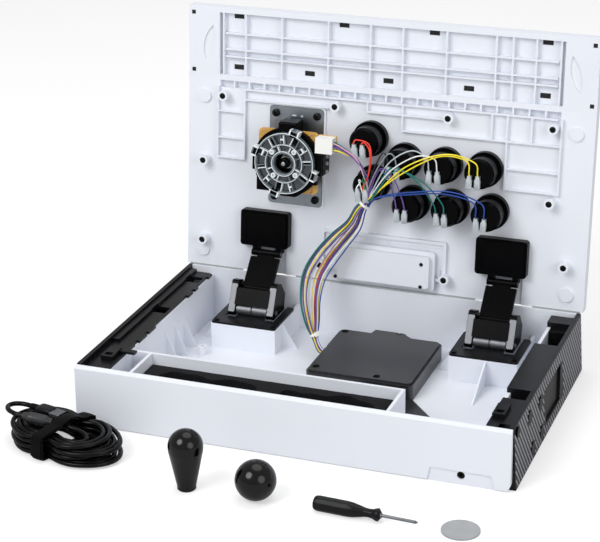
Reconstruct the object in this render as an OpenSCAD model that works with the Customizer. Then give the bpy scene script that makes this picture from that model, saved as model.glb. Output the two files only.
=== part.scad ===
// Arcade fight stick, shown open with its loose accessories.
// Millimetres, X to the right, Y to the back, Z up.
// The origin is under the middle of the case, on the surface that it stands on.

/* [Case] */
// Width of the case
case_w = 400; // [380:5:420]
// Depth of the case from front to rear
case_d = 262; // [256:2:280]
// Height of the case up to its rim
case_h = 58; // [56:1:64]
// Thickness of the moulded walls
wall = 3; // [2:0.5:3.5]
// Height of the walls round the foam
foam_wall_h = 49; // [46:1:50]
// Height of the foam insert
foam_h = 35.5; // [25:0.5:38]

/* [Lid] */
// Angle between the open lid and the case
lid_open_angle = 95.46; // [92:0.5:100]
// Thickness of the lid
lid_t = 12.5; // [11:0.5:16]
// Bend between the main panel and the front strip
fold_angle = 1.94; // [0:0.2:3]
// Height of the small stiffening ribs
rib_h = 4; // [2:0.5:5]
// Thickness of the stiffening ribs
rib_t = 1.6; // [1:0.2:2.4]

/* [Hinges] */
// Width of the hinge links across both ears
link_w = 47; // [44:1:50]
// Diameter of the hinge pin
hinge_pin_d = 5; // [4:0.5:6]
// Diameter of the steel barrel
barrel_d = 10; // [8:0.5:11]

/* [Buttons] */
// Diameter of the button holes
button_hole_d = 30; // [28:0.5:31]
// Diameter of the nut behind each button
nut_d = 34; // [33:0.5:36]
// Travel of the buttons
button_travel = 3.5; // [2:0.5:4]
// Depth of a button housing behind the lid's inner face
button_depth = 28; // [20:0.5:30]

/* [Lever] */
// Width of the lever's mounting plate
plate_w = 55; // [53:1:58]
// Length of the lever's mounting plate
plate_l = 97; // [95:1:100]
// Diameter of the lever shaft
shaft_d = 8; // [7:0.5:9.5]

/* [Accessories] */
// Diameter of the ball top
ball_d = 35; // [30:1:40]
// Largest diameter of the bat top
bat_d = 30; // [26:1:32]
// Height of the bat top
bat_h = 55; // [48:1:60]
// Diameter of the tapped holes in the tops
top_bore_d = 6; // [5:0.5:8]
// Diameter of the cable
cable_d = 4.4; // [3.5:0.1:5]

/* [Hidden] */
$fn = 64;
eps = 0.01;
cut = 1;
seam = 0.3;

// Colours
white_plastic = [0.90, 0.91, 0.94];
black_plastic = [0.05, 0.05, 0.06];
dark_plastic = [0.13, 0.13, 0.14];
steel = [0.70, 0.71, 0.73];

// Case: shared values
half_w = case_w / 2;
half_d = case_d / 2;
panel_t = 7.5;
panel_flare = 3.5;
tray_half = half_w - panel_t + panel_flare;
floor_lift = 2;
floor_top = floor_lift + wall;
inner_top = case_h - 0.5;
side_wall_top = inner_top - 7;
foot_bevel = 1.2;
rim_bevel = 3;
left_corner_r = 13;
right_corner_r = 8;
left_wall_x = -0.865 * half_w;
right_wall_x = 0.87 * half_w;
front_in = -half_d + wall;
rear_in = half_d - wall;

// Foam compartment
foam_rear_y = -0.489 * half_d;
foam_left_x = -0.765 * half_w;
foam_right_x = 0.4225 * half_w;

// Jack recess in the front face
jack_x = 0.784 * half_w;
jack_body_l = 12;
jack_body_r = 0.29 * jack_body_l;
jack_lift = 0.22;
jack_z = floor_top + jack_body_r + jack_lift;
jack_bore_r = 1.75;
jack_setback = 3;
recess_half = 27;
recess_slant = 3;
recess_top = 13.2;
recess_d = 1.6;

// Lid: shared values
lid_rest_angle = 180 - lid_open_angle;
hinge_y = half_d;
hinge_z = case_h;
lid_half = half_w + 2;
lid_start = 0.4;
lid_l = case_d - 0.5;
fold_s = 0.7304 * lid_l;
strip_l = lid_l - fold_s;
skin_t = 3;
sheet_t = 1.2;
lid_corner_r = 3;
grid_depth = 6;
band_s = fold_s - 11;

// Hinges: shared values
hinge_x_shares = [-0.57, 0.625];
pivot_y = hinge_y - 46;
pivot_z = hinge_z - 22;
ear_t = 7;
ear_gap = link_w - 2 * ear_t;
well_gap = 2;
pedestal_half = 33;
pedestal_h = 30;
bracket_t = 2;
pedestal_y = 0.435 * half_d;
bracket_rear_y = 0.86 * half_d;
gusset_x = 0.635 * half_w;
gusset_reach = 46;
neck_w = 30;
neck_t = 3.5;
neck_s = 23;
neck_h = 9;
neck_pin_d = 3;
knuckle_d = 7;
pin_play = 0.05;

// Board and cover
cover_x0 = -0.15 * half_w;
cover_x1 = 0.37 * half_w;
cover_y0 = 0;
cover_y1 = 0.786 * half_d;
cover_top = 22;
cover_t = 2;
board_z = 11;
board_t = 1.6;
cover_screw_shares = [[-0.115, 0.74], [0.1475, 0.825], [-0.1125, 0.087], [0.1885, 0.063]];

// Lever: shared values, in the lid's own directions
lever_x = -0.4425 * half_w;
lever_s = 0.4665 * lid_l;
gate_h = 35;
gate_d = 60;
gate_t = 5;
pivot_h = 14;
gate_hole_d = 24;

// Buttons: places as shares of the half width and of the lid's length
button_x_shares = [-0.063, 0.1115, 0.309, 0.504, -0.039, 0.1585, 0.3515, 0.545];
button_s_shares = [0.5652, 0.4967, 0.4967, 0.4956, 0.4031, 0.3419, 0.3434, 0.3426];
nut_t = 7;
flange_t = 3;
flange_d = 33.5;
plunger_d = 24;

// Screw places on the lid, as shares of the half width and of the lid's length
boss_shares = [[-0.815, 0.673], [-0.24, 0.673], [0.32, 0.671], [0.82, 0.669], [-0.915, 0.4207],
    [-0.915, 0.1109], [-0.295, 0.0688], [0.335, 0.0688], [0.823, 0.398], [0.91, 0.17]];
boss_h = 10;
boss_d = 10;
screw_head_d = 6;
flat_boss_shares = [[-0.925, 0.6616], [0.925, 0.6539], [-0.925, 0.065], [0.925, 0.0612]];
flat_boss_h = 2;
flat_boss_d = 13;

// Touchpad, in the lid's own directions
pad_x0 = -0.2975 * half_w;
pad_x1 = 0.335 * half_w;
pad_s0 = 0.0535 * lid_l;
pad_s1 = 0.2046 * lid_l;
pad_travel = 0.5;

// Side buttons: places as shares of half the depth and of the height
side_button_y_shares = [-0.55, -0.26, -0.244, -0.49];
side_button_z_shares = [0.76, 0.69, 0.19, 0.19];
side_button_d = 11;
release_y = -0.878 * half_d;
release_z = 0.86 * case_h;
release_d = 9;

// Helpers

// A rectangle with round corners, centred.
module round_rect(w, d, r) {
    square([w - 2 * r, d], center = true);
    square([w, d - 2 * r], center = true);
    for (i = [-1, 1], j = [-1, 1])
        translate([i * (w / 2 - r), j * (d / 2 - r)]) circle(r);
}

// A plate with round corners from one corner to the other, standing on z = 0.
module slab(x0, y0, x1, y1, t, r) {
    translate([(x0 + x1) / 2, (y0 + y1) / 2, 0])
        linear_extrude(t) round_rect(x1 - x0, y1 - y0, r);
}

// A box given by its low and high corners.
module box(low, high) {
    translate(low) cube(high - low);
}

// A rod along X, centred on its middle.
module rod_x(d, l) {
    rotate([0, 90, 0]) cylinder(d = d, h = l, center = true);
}

// A profile drawn in Y and Z and drawn out along X from x0 to x1.
module along_x(x0, x1) {
    translate([x0, 0, 0]) rotate([90, 0, 90]) linear_extrude(x1 - x0) children();
}

// A pan-head screw standing on z = 0 with its shank below.
module screw(head_d, head_h, shank_d, shank_l) {
    difference() {
        union() {
            cylinder(d = head_d, h = head_h);
            translate([0, 0, -shank_l]) cylinder(d = shank_d, h = shank_l + eps);
        }
        for (a = [0, 90]) rotate(a) translate([0, 0, head_h])
            cube([head_d * 0.6, head_d * 0.16, head_h], center = true);
    }
}

// Places what lies on the lid: X across, Y up the open lid, Z out of its inner face.
module on_lid() {
    translate([0, hinge_y, hinge_z]) rotate([lid_rest_angle, 0, 0]) children();
}

// Places what lies on the front strip beyond the bend.
module on_strip() {
    on_lid() translate([0, fold_s, 0]) rotate([fold_angle, 0, 0]) children();
}

// Case

// Front wall with its set-back foot and bevelled rim, drawn in Y and Z.
module front_profile() {
    polygon([[-half_d + foot_bevel, 0], [-half_d, foot_bevel], [-half_d, case_h - rim_bevel],
        [-half_d + rim_bevel / 2, case_h], [front_in, case_h], [front_in + wall, floor_lift],
        [front_in + wall, 0]]);
}

// Material outside a round bottom corner of the front wall.
module corner_cut(r, side) {
    translate([side * half_w, -half_d - cut, 0]) rotate([-90, 0, 0]) mirror([side > 0 ? 1 : 0, 0, 0])
        linear_extrude(2 * wall + 2 * cut) difference() {
            translate([-cut, -r]) square([r + cut, r + cut]);
            translate([r, -r]) circle(r);
        }
}

// Hollow stand under one hinge.
module pedestal(x) {
    difference() {
        box([x - pedestal_half, pedestal_y, floor_top - eps], [x + pedestal_half, rear_in + eps, pedestal_h]);
        box([x - pedestal_half + wall, pedestal_y + wall, 0], [x + pedestal_half - wall, rear_in + cut, case_h]);
    }
}

// Triangular gusset standing on the floor against a side wall.
module gusset(x, y, reach, h) {
    translate([x, y + rib_t / 2, 0]) rotate([90, 0, 0]) linear_extrude(rib_t)
        polygon([[0, floor_top - eps], [reach, floor_top - eps], [0, h]]);
}

// Hollow post with a screw hole.
module post(x, y, top, d) {
    translate([x, y, 0]) difference() {
        translate([0, 0, floor_top - eps]) cylinder(d = d, h = top - floor_top + eps);
        translate([0, 0, floor_top]) cylinder(d = d * 0.4, h = top);
    }
}

module foam_walls() {
    box([left_wall_x - eps, foam_rear_y - wall, floor_top - eps], [foam_right_x + eps, foam_rear_y, foam_wall_h]);
    box([foam_left_x - wall, front_in, floor_top - eps], [foam_left_x, foam_rear_y - wall + eps, foam_wall_h]);
    box([foam_right_x, front_in, floor_top - eps], [foam_right_x + wall, foam_rear_y, foam_wall_h]);
}

module base_tray() color(white_plastic) difference() {
    union() {
        along_x(-half_w, half_w) front_profile();
        box([-tray_half, front_in, floor_lift], [tray_half, rear_in + eps, floor_top]);
        box([-tray_half, rear_in, 0], [tray_half, half_d, inner_top]);
        box([left_wall_x - wall, front_in, floor_top - eps], [left_wall_x, rear_in + eps, side_wall_top]);
        box([right_wall_x, front_in, floor_top - eps], [right_wall_x + wall, rear_in + eps, side_wall_top]);
        foam_walls();
        for (s = hinge_x_shares) pedestal(s * half_w);
        for (g = [0.06, 0.22, 0.38]) {
            gusset(left_wall_x - eps, g * half_d, 14, case_h * 0.62);
            translate([2 * right_wall_x + eps, 0, 0]) mirror([1, 0, 0])
                gusset(right_wall_x, g * half_d, 14, case_h * 0.62);
        }
        for (s = hinge_x_shares) for (i = [-1, 1])
            translate([s * half_w + i * (pedestal_half + (i < 0 ? 16 : 0)), 0.6 * half_d, 0])
                rotate([90, 0, 0]) linear_extrude(rib_t)
                    polygon([[-eps, floor_top - eps], [16 + eps, floor_top - eps],
                        [i < 0 ? 16 + eps : -eps, pedestal_h]]);
        along_x(gusset_x, gusset_x + rib_t)
            polygon([[pedestal_y - gusset_reach, floor_top - eps], [pedestal_y + eps, floor_top - eps],
                [pedestal_y + eps, pedestal_h]]);
        for (p = cover_screw_shares)
            post(p[0] * half_w, p[1] * half_d, board_z, 7);
        post(-0.74 * half_w, 0.279 * half_d, 14, 8);
        post(-0.5 * half_w, -0.18 * half_d, 14, 8);
    }
    corner_cut(left_corner_r, -1);
    corner_cut(right_corner_r, 1);
    translate([jack_x, -half_d, jack_z]) rotate([90, 0, 0]) {
        translate([0, 0, -2 * wall - cut]) cylinder(r = jack_body_r + 0.12, h = 2 * wall + 2 * cut);
    }
    translate([jack_x, -half_d + recess_d, 0]) rotate([90, 0, 0]) linear_extrude(recess_d + cut)
        polygon([[-recess_half - recess_slant, -cut], [recess_half + recess_slant, -cut],
            [recess_half, recess_top], [-recess_half, recess_top]]);
    for (p = cover_screw_shares)
        translate([p[0] * half_w, p[1] * half_d, floor_top]) cylinder(d = 3, h = board_z);
}

module anti_slip_mat() color(dark_plastic)
    slab(-tray_half, front_in + wall + seam, tray_half, rear_in - seam, floor_lift, 8);

// Side cheek profile in X and Z, seen from the front, for the right side.
module cheek_profile() {
    polygon([[tray_half, 0], [half_w + panel_flare, 0], [half_w, inner_top], [tray_half, inner_top]]);
}

module cheek() {
    translate([0, half_d, 0]) rotate([90, 0, 0]) linear_extrude(case_d - wall * 2) cheek_profile();
}

module left_side_panel() color(dark_plastic) mirror([1, 0, 0]) cheek();

module right_side_panel() color(dark_plastic) difference() {
    cheek();
    for (i = [0 : 3])
        translate([half_w, side_button_y_shares[i] * half_d, side_button_z_shares[i] * case_h])
            rod_x(side_button_d + 2 * seam, 4 * panel_t);
    translate([half_w, release_y, release_z]) rod_x(release_d + 2 * seam, 4 * panel_t);
    translate([half_w + panel_flare * 0.35, 0, 0]) rotate([0, -atan(panel_flare / inner_top), 0])
        translate([0, 0.13 * half_d, 0]) along_x(0, panel_flare * 2)
            polygon([[0.22 * half_d, 0.75 * case_h], [-0.26 * half_d, 0.75 * case_h],
                [-0.24 * half_d, 0.2 * case_h], [0.16 * half_d, 0.2 * case_h]]);
}

// Rails in the two side compartments: they lie over the inner walls and carry the latches
rail_foot = 3;
deck_top = inner_top - 4.5;
deck_t = 3;
ledge_top = inner_top - 2;
ledge_w = 7;
front_deck_rear = -0.46 * half_d;
rail_rear = 0.94 * half_d;
housing_top = inner_top - 2.5;
housing_y0 = -0.34 * half_d;
housing_y1 = 0.43 * half_d;
boss_pocket_z = case_h - boss_h - 2;
boss_pocket_r = boss_d / 2 + 2;

// Deck at the front of a rail with its two legs.
module front_deck(x0, x1, over) {
    box([x0, front_in + wall + seam, deck_top - deck_t], [x1, front_deck_rear, deck_top]);
    box([x0, front_in + wall + seam, floor_top], [x0 + deck_t, front_deck_rear, deck_top]);
    box([x1 - deck_t, front_in + wall + seam, floor_top], [x1, front_deck_rear, deck_top]);
    box([over[0], front_in + wall + seam, side_wall_top], [over[1], front_deck_rear, deck_top]);
}

// Teeth along a rail's inner edge, given by the start and the end of each as shares of half the depth.
module rail_teeth(x0, x1) {
    for (t = [[-0.4, -0.27], [-0.24, -0.12], [0.47, 0.56], [0.6, 0.66], [0.86, 0.93]])
        box([x0, t[0] * half_d, side_wall_top], [x1, t[1] * half_d, deck_top]);
}

module left_rail() color(black_plastic) {
    inner_x = left_wall_x - wall;
    difference() {
        union() {
            box([-tray_half, front_deck_rear - eps, floor_top], [inner_x, rail_rear, floor_top + rail_foot]);
            box([-tray_half, front_deck_rear - eps, floor_top], [-tray_half + deck_t, rail_rear, ledge_top]);
            box([-tray_half, front_deck_rear - eps, deck_top - deck_t], [-tray_half + ledge_w, rail_rear, ledge_top]);
            box([-tray_half, front_deck_rear - eps, deck_top - deck_t], [inner_x, rail_rear, deck_top]);
            box([inner_x - deck_t, front_deck_rear - eps, floor_top], [inner_x, rail_rear, deck_top]);
            box([inner_x - deck_t, front_deck_rear - eps, side_wall_top], [left_wall_x - wall / 2, rail_rear, deck_top]);
            rail_teeth(inner_x - deck_t, left_wall_x + 1);
            front_deck(-tray_half, inner_x, [inner_x - eps, left_wall_x]);
            box([-tray_half, 0.7 * half_d, floor_top], [inner_x, 0.74 * half_d, deck_top]);
        }
        for (p = boss_shares) if (p[0] < -0.9)
            translate([p[0] * half_w, half_d - p[1] * lid_l, case_h]) cube([2 * boss_pocket_r, 2 * boss_pocket_r, 2 * (case_h - boss_pocket_z)], center = true);
    }
}

module right_rail() color(black_plastic) {
    inner_x = right_wall_x + wall;
    difference() {
        union() {
            box([inner_x, front_deck_rear - eps, floor_top], [tray_half, rail_rear, floor_top + rail_foot]);
            box([inner_x, housing_y0, floor_top], [tray_half, housing_y1, housing_top]);
            box([right_wall_x - 0.5, housing_y0, side_wall_top], [inner_x + eps, housing_y1, housing_top]);
            box([inner_x, 0.74 * half_d, floor_top], [tray_half, 0.81 * half_d, deck_top - deck_t]);
            box([inner_x, 0.81 * half_d - eps, floor_top], [tray_half, rail_rear, ledge_top]);
            box([right_wall_x - 0.5, 0.81 * half_d, side_wall_top], [inner_x + eps, rail_rear, ledge_top]);
            front_deck(inner_x, tray_half, [right_wall_x, inner_x + eps]);
        }
        for (i = [0 : 3])
            translate([tray_half, side_button_y_shares[i] * half_d, side_button_z_shares[i] * case_h])
                rod_x(side_button_d + 2, 16);
        translate([tray_half, release_y, release_z]) rod_x(release_d + 2, 24);
        box([inner_x + 3, housing_y0 + 3, floor_top + rail_foot], [tray_half - 3, housing_y1 - 3, housing_top - wall]);
    }
}

// Foam insert with two wavy cut-outs.
module wavy_hole(x0, x1, y, w) {
    lobes = 4;
    step = (x1 - x0) / lobes;
    for (i = [0 : lobes - 1])
        translate([x0 + (i + 0.5) * step, y + (i % 2 == 0 ? w * 0.06 : -w * 0.06)])
            circle(r = step * 0.62);
    translate([x0, y - w * 0.3]) square([x1 - x0, w * 0.6]);
}

module foam_insert() color(dark_plastic) difference() {
    box([foam_left_x, front_in + wall, floor_top], [foam_right_x, foam_rear_y - wall, floor_top + foam_h]);
    translate([0, 0, floor_top + wall]) linear_extrude(case_h) {
        wavy_hole(foam_left_x + 18, foam_left_x + 106, (front_in + foam_rear_y) / 2, 48);
        wavy_hole(foam_right_x - 106, foam_right_x - 18, (front_in + foam_rear_y) / 2, 48);
    }
}

module cover_outline(inset, r) {
    translate([(cover_x0 + cover_x1) / 2, (cover_y0 + cover_y1) / 2])
        round_rect(cover_x1 - cover_x0 - 2 * inset, cover_y1 - cover_y0 - 2 * inset, r);
}

// Tab along the cover's rear edge, drawn in by the given inset.
module cover_tab(inset) {
    polygon([[inset, cover_y1 - 3], [2 + inset, cover_y1 + 9 - inset], [33 - inset, cover_y1 + 9 - inset],
        [46 - inset, cover_y1 - 3]]);
}

// Low plate on the floor before the cover, with a slanted right edge.
module cover_apron() {
    polygon([[0.1 * half_w, cover_y0 + 3], [cover_x1 - 1, cover_y0 + 3], [0.55 * half_w, -0.3 * half_d],
        [0.55 * half_w, foam_rear_y + 1], [0.1 * half_w, foam_rear_y + 1]]);
}

module board_cover() color(black_plastic) difference() {
    union() {
        translate([0, 0, floor_top]) linear_extrude(cover_top - floor_top - 2) {
            cover_outline(0, 6);
            cover_tab(0);
        }
        translate([0, 0, floor_top]) linear_extrude(cover_top - floor_top) {
            cover_outline(2, 5);
            cover_tab(2);
        }
        translate([0, 0, floor_top]) linear_extrude(1.8) cover_apron();
        for (p = cover_screw_shares)
            translate([p[0] * half_w, p[1] * half_d, board_z + board_t])
                cylinder(d = 12, h = cover_top - board_z - board_t - 2);
    }
    translate([0, 0, -eps]) linear_extrude(board_z + board_t + eps) cover_outline(cover_t, 4);
    translate([0, 0, board_z]) linear_extrude(cover_top - cover_t - board_z - 1) difference() {
        cover_outline(cover_t, 4);
        for (p = cover_screw_shares)
            translate([p[0] * half_w, p[1] * half_d]) circle(d = 9.4);
    }
    for (p = cover_screw_shares)
        translate([p[0] * half_w, p[1] * half_d, 0]) {
            cylinder(d = 3.4, h = case_h);
            translate([0, 0, cover_top - 4]) cylinder(d = 7, h = case_h);
            cylinder(d = 10.7, h = board_z + board_t);
        }
    translate([cover_x0, 0.46 * half_d, floor_top + 11]) rod_x(9, 4 * cover_t);
}

module main_board() color([0.05, 0.30, 0.14]) difference() {
    translate([0, 0, board_z]) linear_extrude(board_t) difference() {
        union() {
            cover_outline(cover_t + seam, 3);
            for (p = cover_screw_shares)
                translate([p[0] * half_w, p[1] * half_d]) circle(d = 10);
        }
        for (p = cover_screw_shares)
            translate([p[0] * half_w, p[1] * half_d]) circle(d = 3);
    }
}

module headset_jack() color(black_plastic) translate([jack_x, -half_d + jack_setback, jack_z])
    rotate([90, 0, 0]) difference() {
        union() {
            translate([0, 0, -jack_body_l]) cylinder(r = jack_body_r, h = jack_body_l);
            translate([0, 0, -jack_body_l - wall]) cylinder(d = jack_body_l * 0.4, h = wall + eps);
        }
        translate([0, 0, -jack_body_l]) cylinder(r = jack_bore_r, h = jack_body_l + cut);
    }

module base_screws() color(black_plastic) {
    for (p = cover_screw_shares)
        translate([p[0] * half_w, p[1] * half_d, cover_top - 4])
            screw(6, 2, 2.8, cover_top - floor_top - 5);
    for (s = hinge_x_shares) for (i = [-1, 1])
        translate([s * half_w + i * (pedestal_half - 4), pedestal_y + 5, pedestal_h + bracket_t])
            screw(5, 1.6, 1, bracket_t);
}

// Hinges

module hinge_bracket(x) color(black_plastic) translate([x, 0, 0]) difference() {
    union() {
        translate([0, 0, pedestal_h]) difference() {
            slab(-pedestal_half, pedestal_y, pedestal_half, bracket_rear_y, bracket_t, 3);
            box([-link_w / 2 - well_gap, pivot_y - 11, -cut], [link_w / 2 + well_gap, bracket_rear_y + cut, cut + bracket_t]);
        }
        box([-ear_gap / 2 + 2, pivot_y - 12, pedestal_h], [ear_gap / 2 - 2, pivot_y + 4, pedestal_h + bracket_t]);
        box([-ear_gap / 2 + 2, pivot_y - 5, pedestal_h], [-ear_gap / 2 + 6, pivot_y + 4, pivot_z]);
        box([ear_gap / 2 - 6, pivot_y - 5, pedestal_h], [ear_gap / 2 - 2, pivot_y + 4, pivot_z]);
    }
    translate([0, pivot_y, pivot_z]) rod_x(barrel_d, link_w);
    for (i = [-1, 1]) translate([i * (pedestal_half - 4), pedestal_y + 5, pedestal_h - cut])
        cylinder(d = 2, h = bracket_t + 2 * cut);
}

module left_hinge_bracket() hinge_bracket(hinge_x_shares[0] * half_w);

module right_hinge_bracket() hinge_bracket(hinge_x_shares[1] * half_w);

module hinge_pins() color(steel)
    for (s = hinge_x_shares) translate([s * half_w, pivot_y, pivot_z]) {
        difference() {
            rod_x(barrel_d, ear_gap - 2 * seam);
            difference() {
                rod_x(barrel_d + cut, 1.2);
                rod_x(barrel_d - 1.2, 3);
            }
        }
        rod_x(hinge_pin_d, link_w + 2);
    }

// One ear of a link, drawn in Y and Z from the barrel's axis.
module ear_profile() {
    r = 3;
    front_low = [-8, -5];
    front_high = [5, 27];
    rear_high = [18, 25];
    rear_mid = [27, 13];
    rear_low = [24, -5];
    hull() for (p = [front_low, front_high, rear_high, rear_mid, rear_low])
        translate([p[0] + (p[0] < 10 ? r : -r), p[1] + (p[1] < 0 ? r : -r)]) circle(r, $fn = 32);
}

module hinge_link(x) color(black_plastic) translate([x, pivot_y, pivot_z]) difference() {
    union() {
        for (i = [-1, 1]) translate([i * (ear_gap + ear_t) / 2, 0, 0])
            along_x(-ear_t / 2, ear_t / 2) ear_profile();
        along_x(-ear_gap / 2 - cut, ear_gap / 2 + cut)
            polygon([[-5.2, 6.6], [-2.9, 6.2], [4.4, 21], [2.4, 21.4]]);
    }
    rod_x(hinge_pin_d + 2 * pin_play, link_w + 2);
}

module left_hinge_link() hinge_link(hinge_x_shares[0] * half_w);

module right_hinge_link() hinge_link(hinge_x_shares[1] * half_w);

// Leaf screwed to the lid with the knuckles that carry the neck.
leaf_w = 50;
leaf_l = 36;
leaf_t = 11;
leaf_s = neck_s + 6;
leaf_shift = -3;

module hinge_leaf(x) color(black_plastic) on_lid() translate([x, 0, 0]) difference() {
    union() {
        translate([leaf_shift, leaf_s + leaf_l / 2, 0]) linear_extrude(leaf_t - 2) round_rect(leaf_w, leaf_l, 3);
        translate([leaf_shift, leaf_s + leaf_l / 2, 0]) linear_extrude(leaf_t) round_rect(leaf_w - 4, leaf_l - 4, 3);
        for (i = [-1, 1]) translate([i * (neck_w / 2 - 3), neck_s, neck_h]) rod_x(knuckle_d, 6);
        for (i = [-1, 1]) box([i * (neck_w / 2 - 3) - 3, neck_s, 0], [i * (neck_w / 2 - 3) + 3, leaf_s + cut, neck_h]);
    }
    translate([0, neck_s, neck_h]) rod_x(neck_pin_d, neck_w + cut);
    translate([leaf_shift, leaf_s + leaf_l / 2, leaf_t - 1]) linear_extrude(cut + 1) round_rect(leaf_w - 12, leaf_l - 12, 2);
}

module left_hinge_leaf() hinge_leaf(hinge_x_shares[0] * half_w);

module right_hinge_leaf() hinge_leaf(hinge_x_shares[1] * half_w);

module neck_pins() color(steel) on_lid()
    for (s = hinge_x_shares) translate([s * half_w, neck_s, neck_h]) rod_x(neck_pin_d, neck_w);

// Curved neck from the leaf's knuckles down between the ears.
neck_end = [-32, 25];

module hinge_neck(x) color(black_plastic) on_lid() translate([x, neck_s, neck_h]) difference() {
    union() {
        rod_x(knuckle_d, neck_w - 12 - 2 * seam);
        along_x(-neck_w / 2 + 6 + seam, neck_w / 2 - 6 - seam) neck_strip(0, 0.2);
        along_x(-neck_w / 2, neck_w / 2) neck_strip(0.13, 1);
        translate([0, neck_end[0] * 0.93, neck_end[1] * 0.93]) rod_x(neck_t + 1, ear_gap - 2 * seam);
    }
    rod_x(neck_pin_d + 2 * pin_play, neck_w + cut);
}

// The neck's strip between two shares of its length, drawn up the lid and out of it.
module neck_strip(from_share, to_share) {
    len = norm(neck_end);
    rotate(atan2(neck_end[1], neck_end[0])) translate([from_share * len, -neck_t / 2])
        square([(to_share - from_share) * len, neck_t]);
}

module left_hinge_neck() hinge_neck(hinge_x_shares[0] * half_w);

module right_hinge_neck() hinge_neck(hinge_x_shares[1] * half_w);

// Lid

rib_x_shares = [-0.83, -0.715, -0.53, -0.295, -0.085, 0.075, 0.2875, 0.525, 0.605, 0.715, 0.83];
rib_s_shares = [0.32, 0.42, 0.64];
grid_x = 0.85 * half_w;
grid_s0 = 0.06 * strip_l;
grid_s1 = 0.92 * strip_l;
slot_w = 10;
slot_l = 5;
pocket_count = 22;

// Grid of ribs left standing in the front strip's recess.
module strip_recess() difference() {
    box([-grid_x, grid_s0, -grid_depth], [grid_x, grid_s1, cut]);
    for (x = rib_x_shares)
        box([x * half_w - rib_t / 2, 0, -grid_depth - cut], [x * half_w + rib_t / 2, strip_l, -seam]);
    for (s = rib_s_shares)
        box([-grid_x + 6, s * strip_l - rib_t / 2, -grid_depth - cut], [grid_x - 6, s * strip_l + rib_t / 2, -seam]);
}

// Long dimple pressed into each end of the strip.
module end_dimple(side) translate([side * 0.905 * half_w, 0.5 * strip_l, -1.5]) rotate(side * 14)
    linear_extrude(cut + 1.5) intersection() {
        translate([-28, 0]) circle(33);
        translate([28, 0]) circle(33);
    }

module front_strip() difference() {
    translate([0, strip_l / 2 - cut / 2, -lid_t]) linear_extrude(lid_t) round_rect(2 * lid_half, strip_l + cut, lid_corner_r * 0.3);
    strip_recess();
    for (side = [-1, 1]) end_dimple(side);
    for (x = [-0.76, -0.225, 0.22, 0.76])
        box([x * half_w - slot_w / 2, 0.84 * strip_l, -grid_depth - 2], [x * half_w + slot_w / 2, 0.84 * strip_l + slot_l, 0]);
    for (x = [-0.76, -0.395, 0, 0.395, 0.76])
        box([x * half_w - slot_w / 2, 0.13 * strip_l, -grid_depth - 2], [x * half_w + slot_w / 2, 0.13 * strip_l + slot_l, 0]);
    for (x = [-1, 1], s = [0.1, 0.9])
        translate([x * 0.985 * half_w, s * strip_l, 0]) cube(4, center = true);
}

// Row of small pockets along the bend.
module pocket_row() {
    pitch = 2 * grid_x / pocket_count;
    for (i = [0 : pocket_count - 1])
        box([-grid_x + i * pitch + rib_t / 2, fold_s - 8, -grid_depth], [-grid_x + (i + 1) * pitch - rib_t / 2, fold_s - 1.2, cut]);
}

// A straight rib on the lid's inner face from one place to the other, given as shares.
module lid_rib(x0, s0, x1, s1) {
    box([x0 * half_w - rib_t / 2, s0 * lid_l - rib_t / 2, -eps], [x1 * half_w + rib_t / 2, s1 * lid_l + rib_t / 2, rib_h]);
}

module lid_ribs() {
    lid_rib(-0.71, 0.7, 0.83, 0.7);
    lid_rib(-0.71, 0.662, -0.28, 0.662);
    lid_rib(-0.085, 0.662, 0.3, 0.662);
    lid_rib(-0.85, 0.436, -0.85, 0.7);
    lid_rib(-0.71, 0.436, -0.71, 0.7);
    lid_rib(-0.85, 0.436, -0.71, 0.436);
    lid_rib(-0.85, 0.512, -0.71, 0.512);
    lid_rib(-0.85, 0.612, -0.71, 0.612);
    lid_rib(0.09, 0.604, 0.855, 0.604);
    lid_rib(0.09, 0.604, 0.09, 0.7);
    lid_rib(0.855, 0.43, 0.855, 0.7);
    lid_rib(0.6, 0.43, 0.855, 0.43);
    lid_rib(0.6, 0.43, 0.6, 0.7);
    lid_rib(0.6, 0.505, 0.855, 0.505);
    for (x = [0.525, 0.715]) lid_rib(x, 0.604, x, 0.7);
    lid_rib(-0.085, 0.662, -0.085, 0.7);
}

// Raised frame round the touchpad.
module pad_frame() difference() {
    slab(pad_x0, pad_s0, pad_x1, pad_s1, rib_h, 2);
    translate([0, 0, -cut]) slab(pad_x0 + wall, pad_s0 + wall, pad_x1 - wall, pad_s1 - wall, rib_h + 2 * cut, 2);
}

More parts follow.
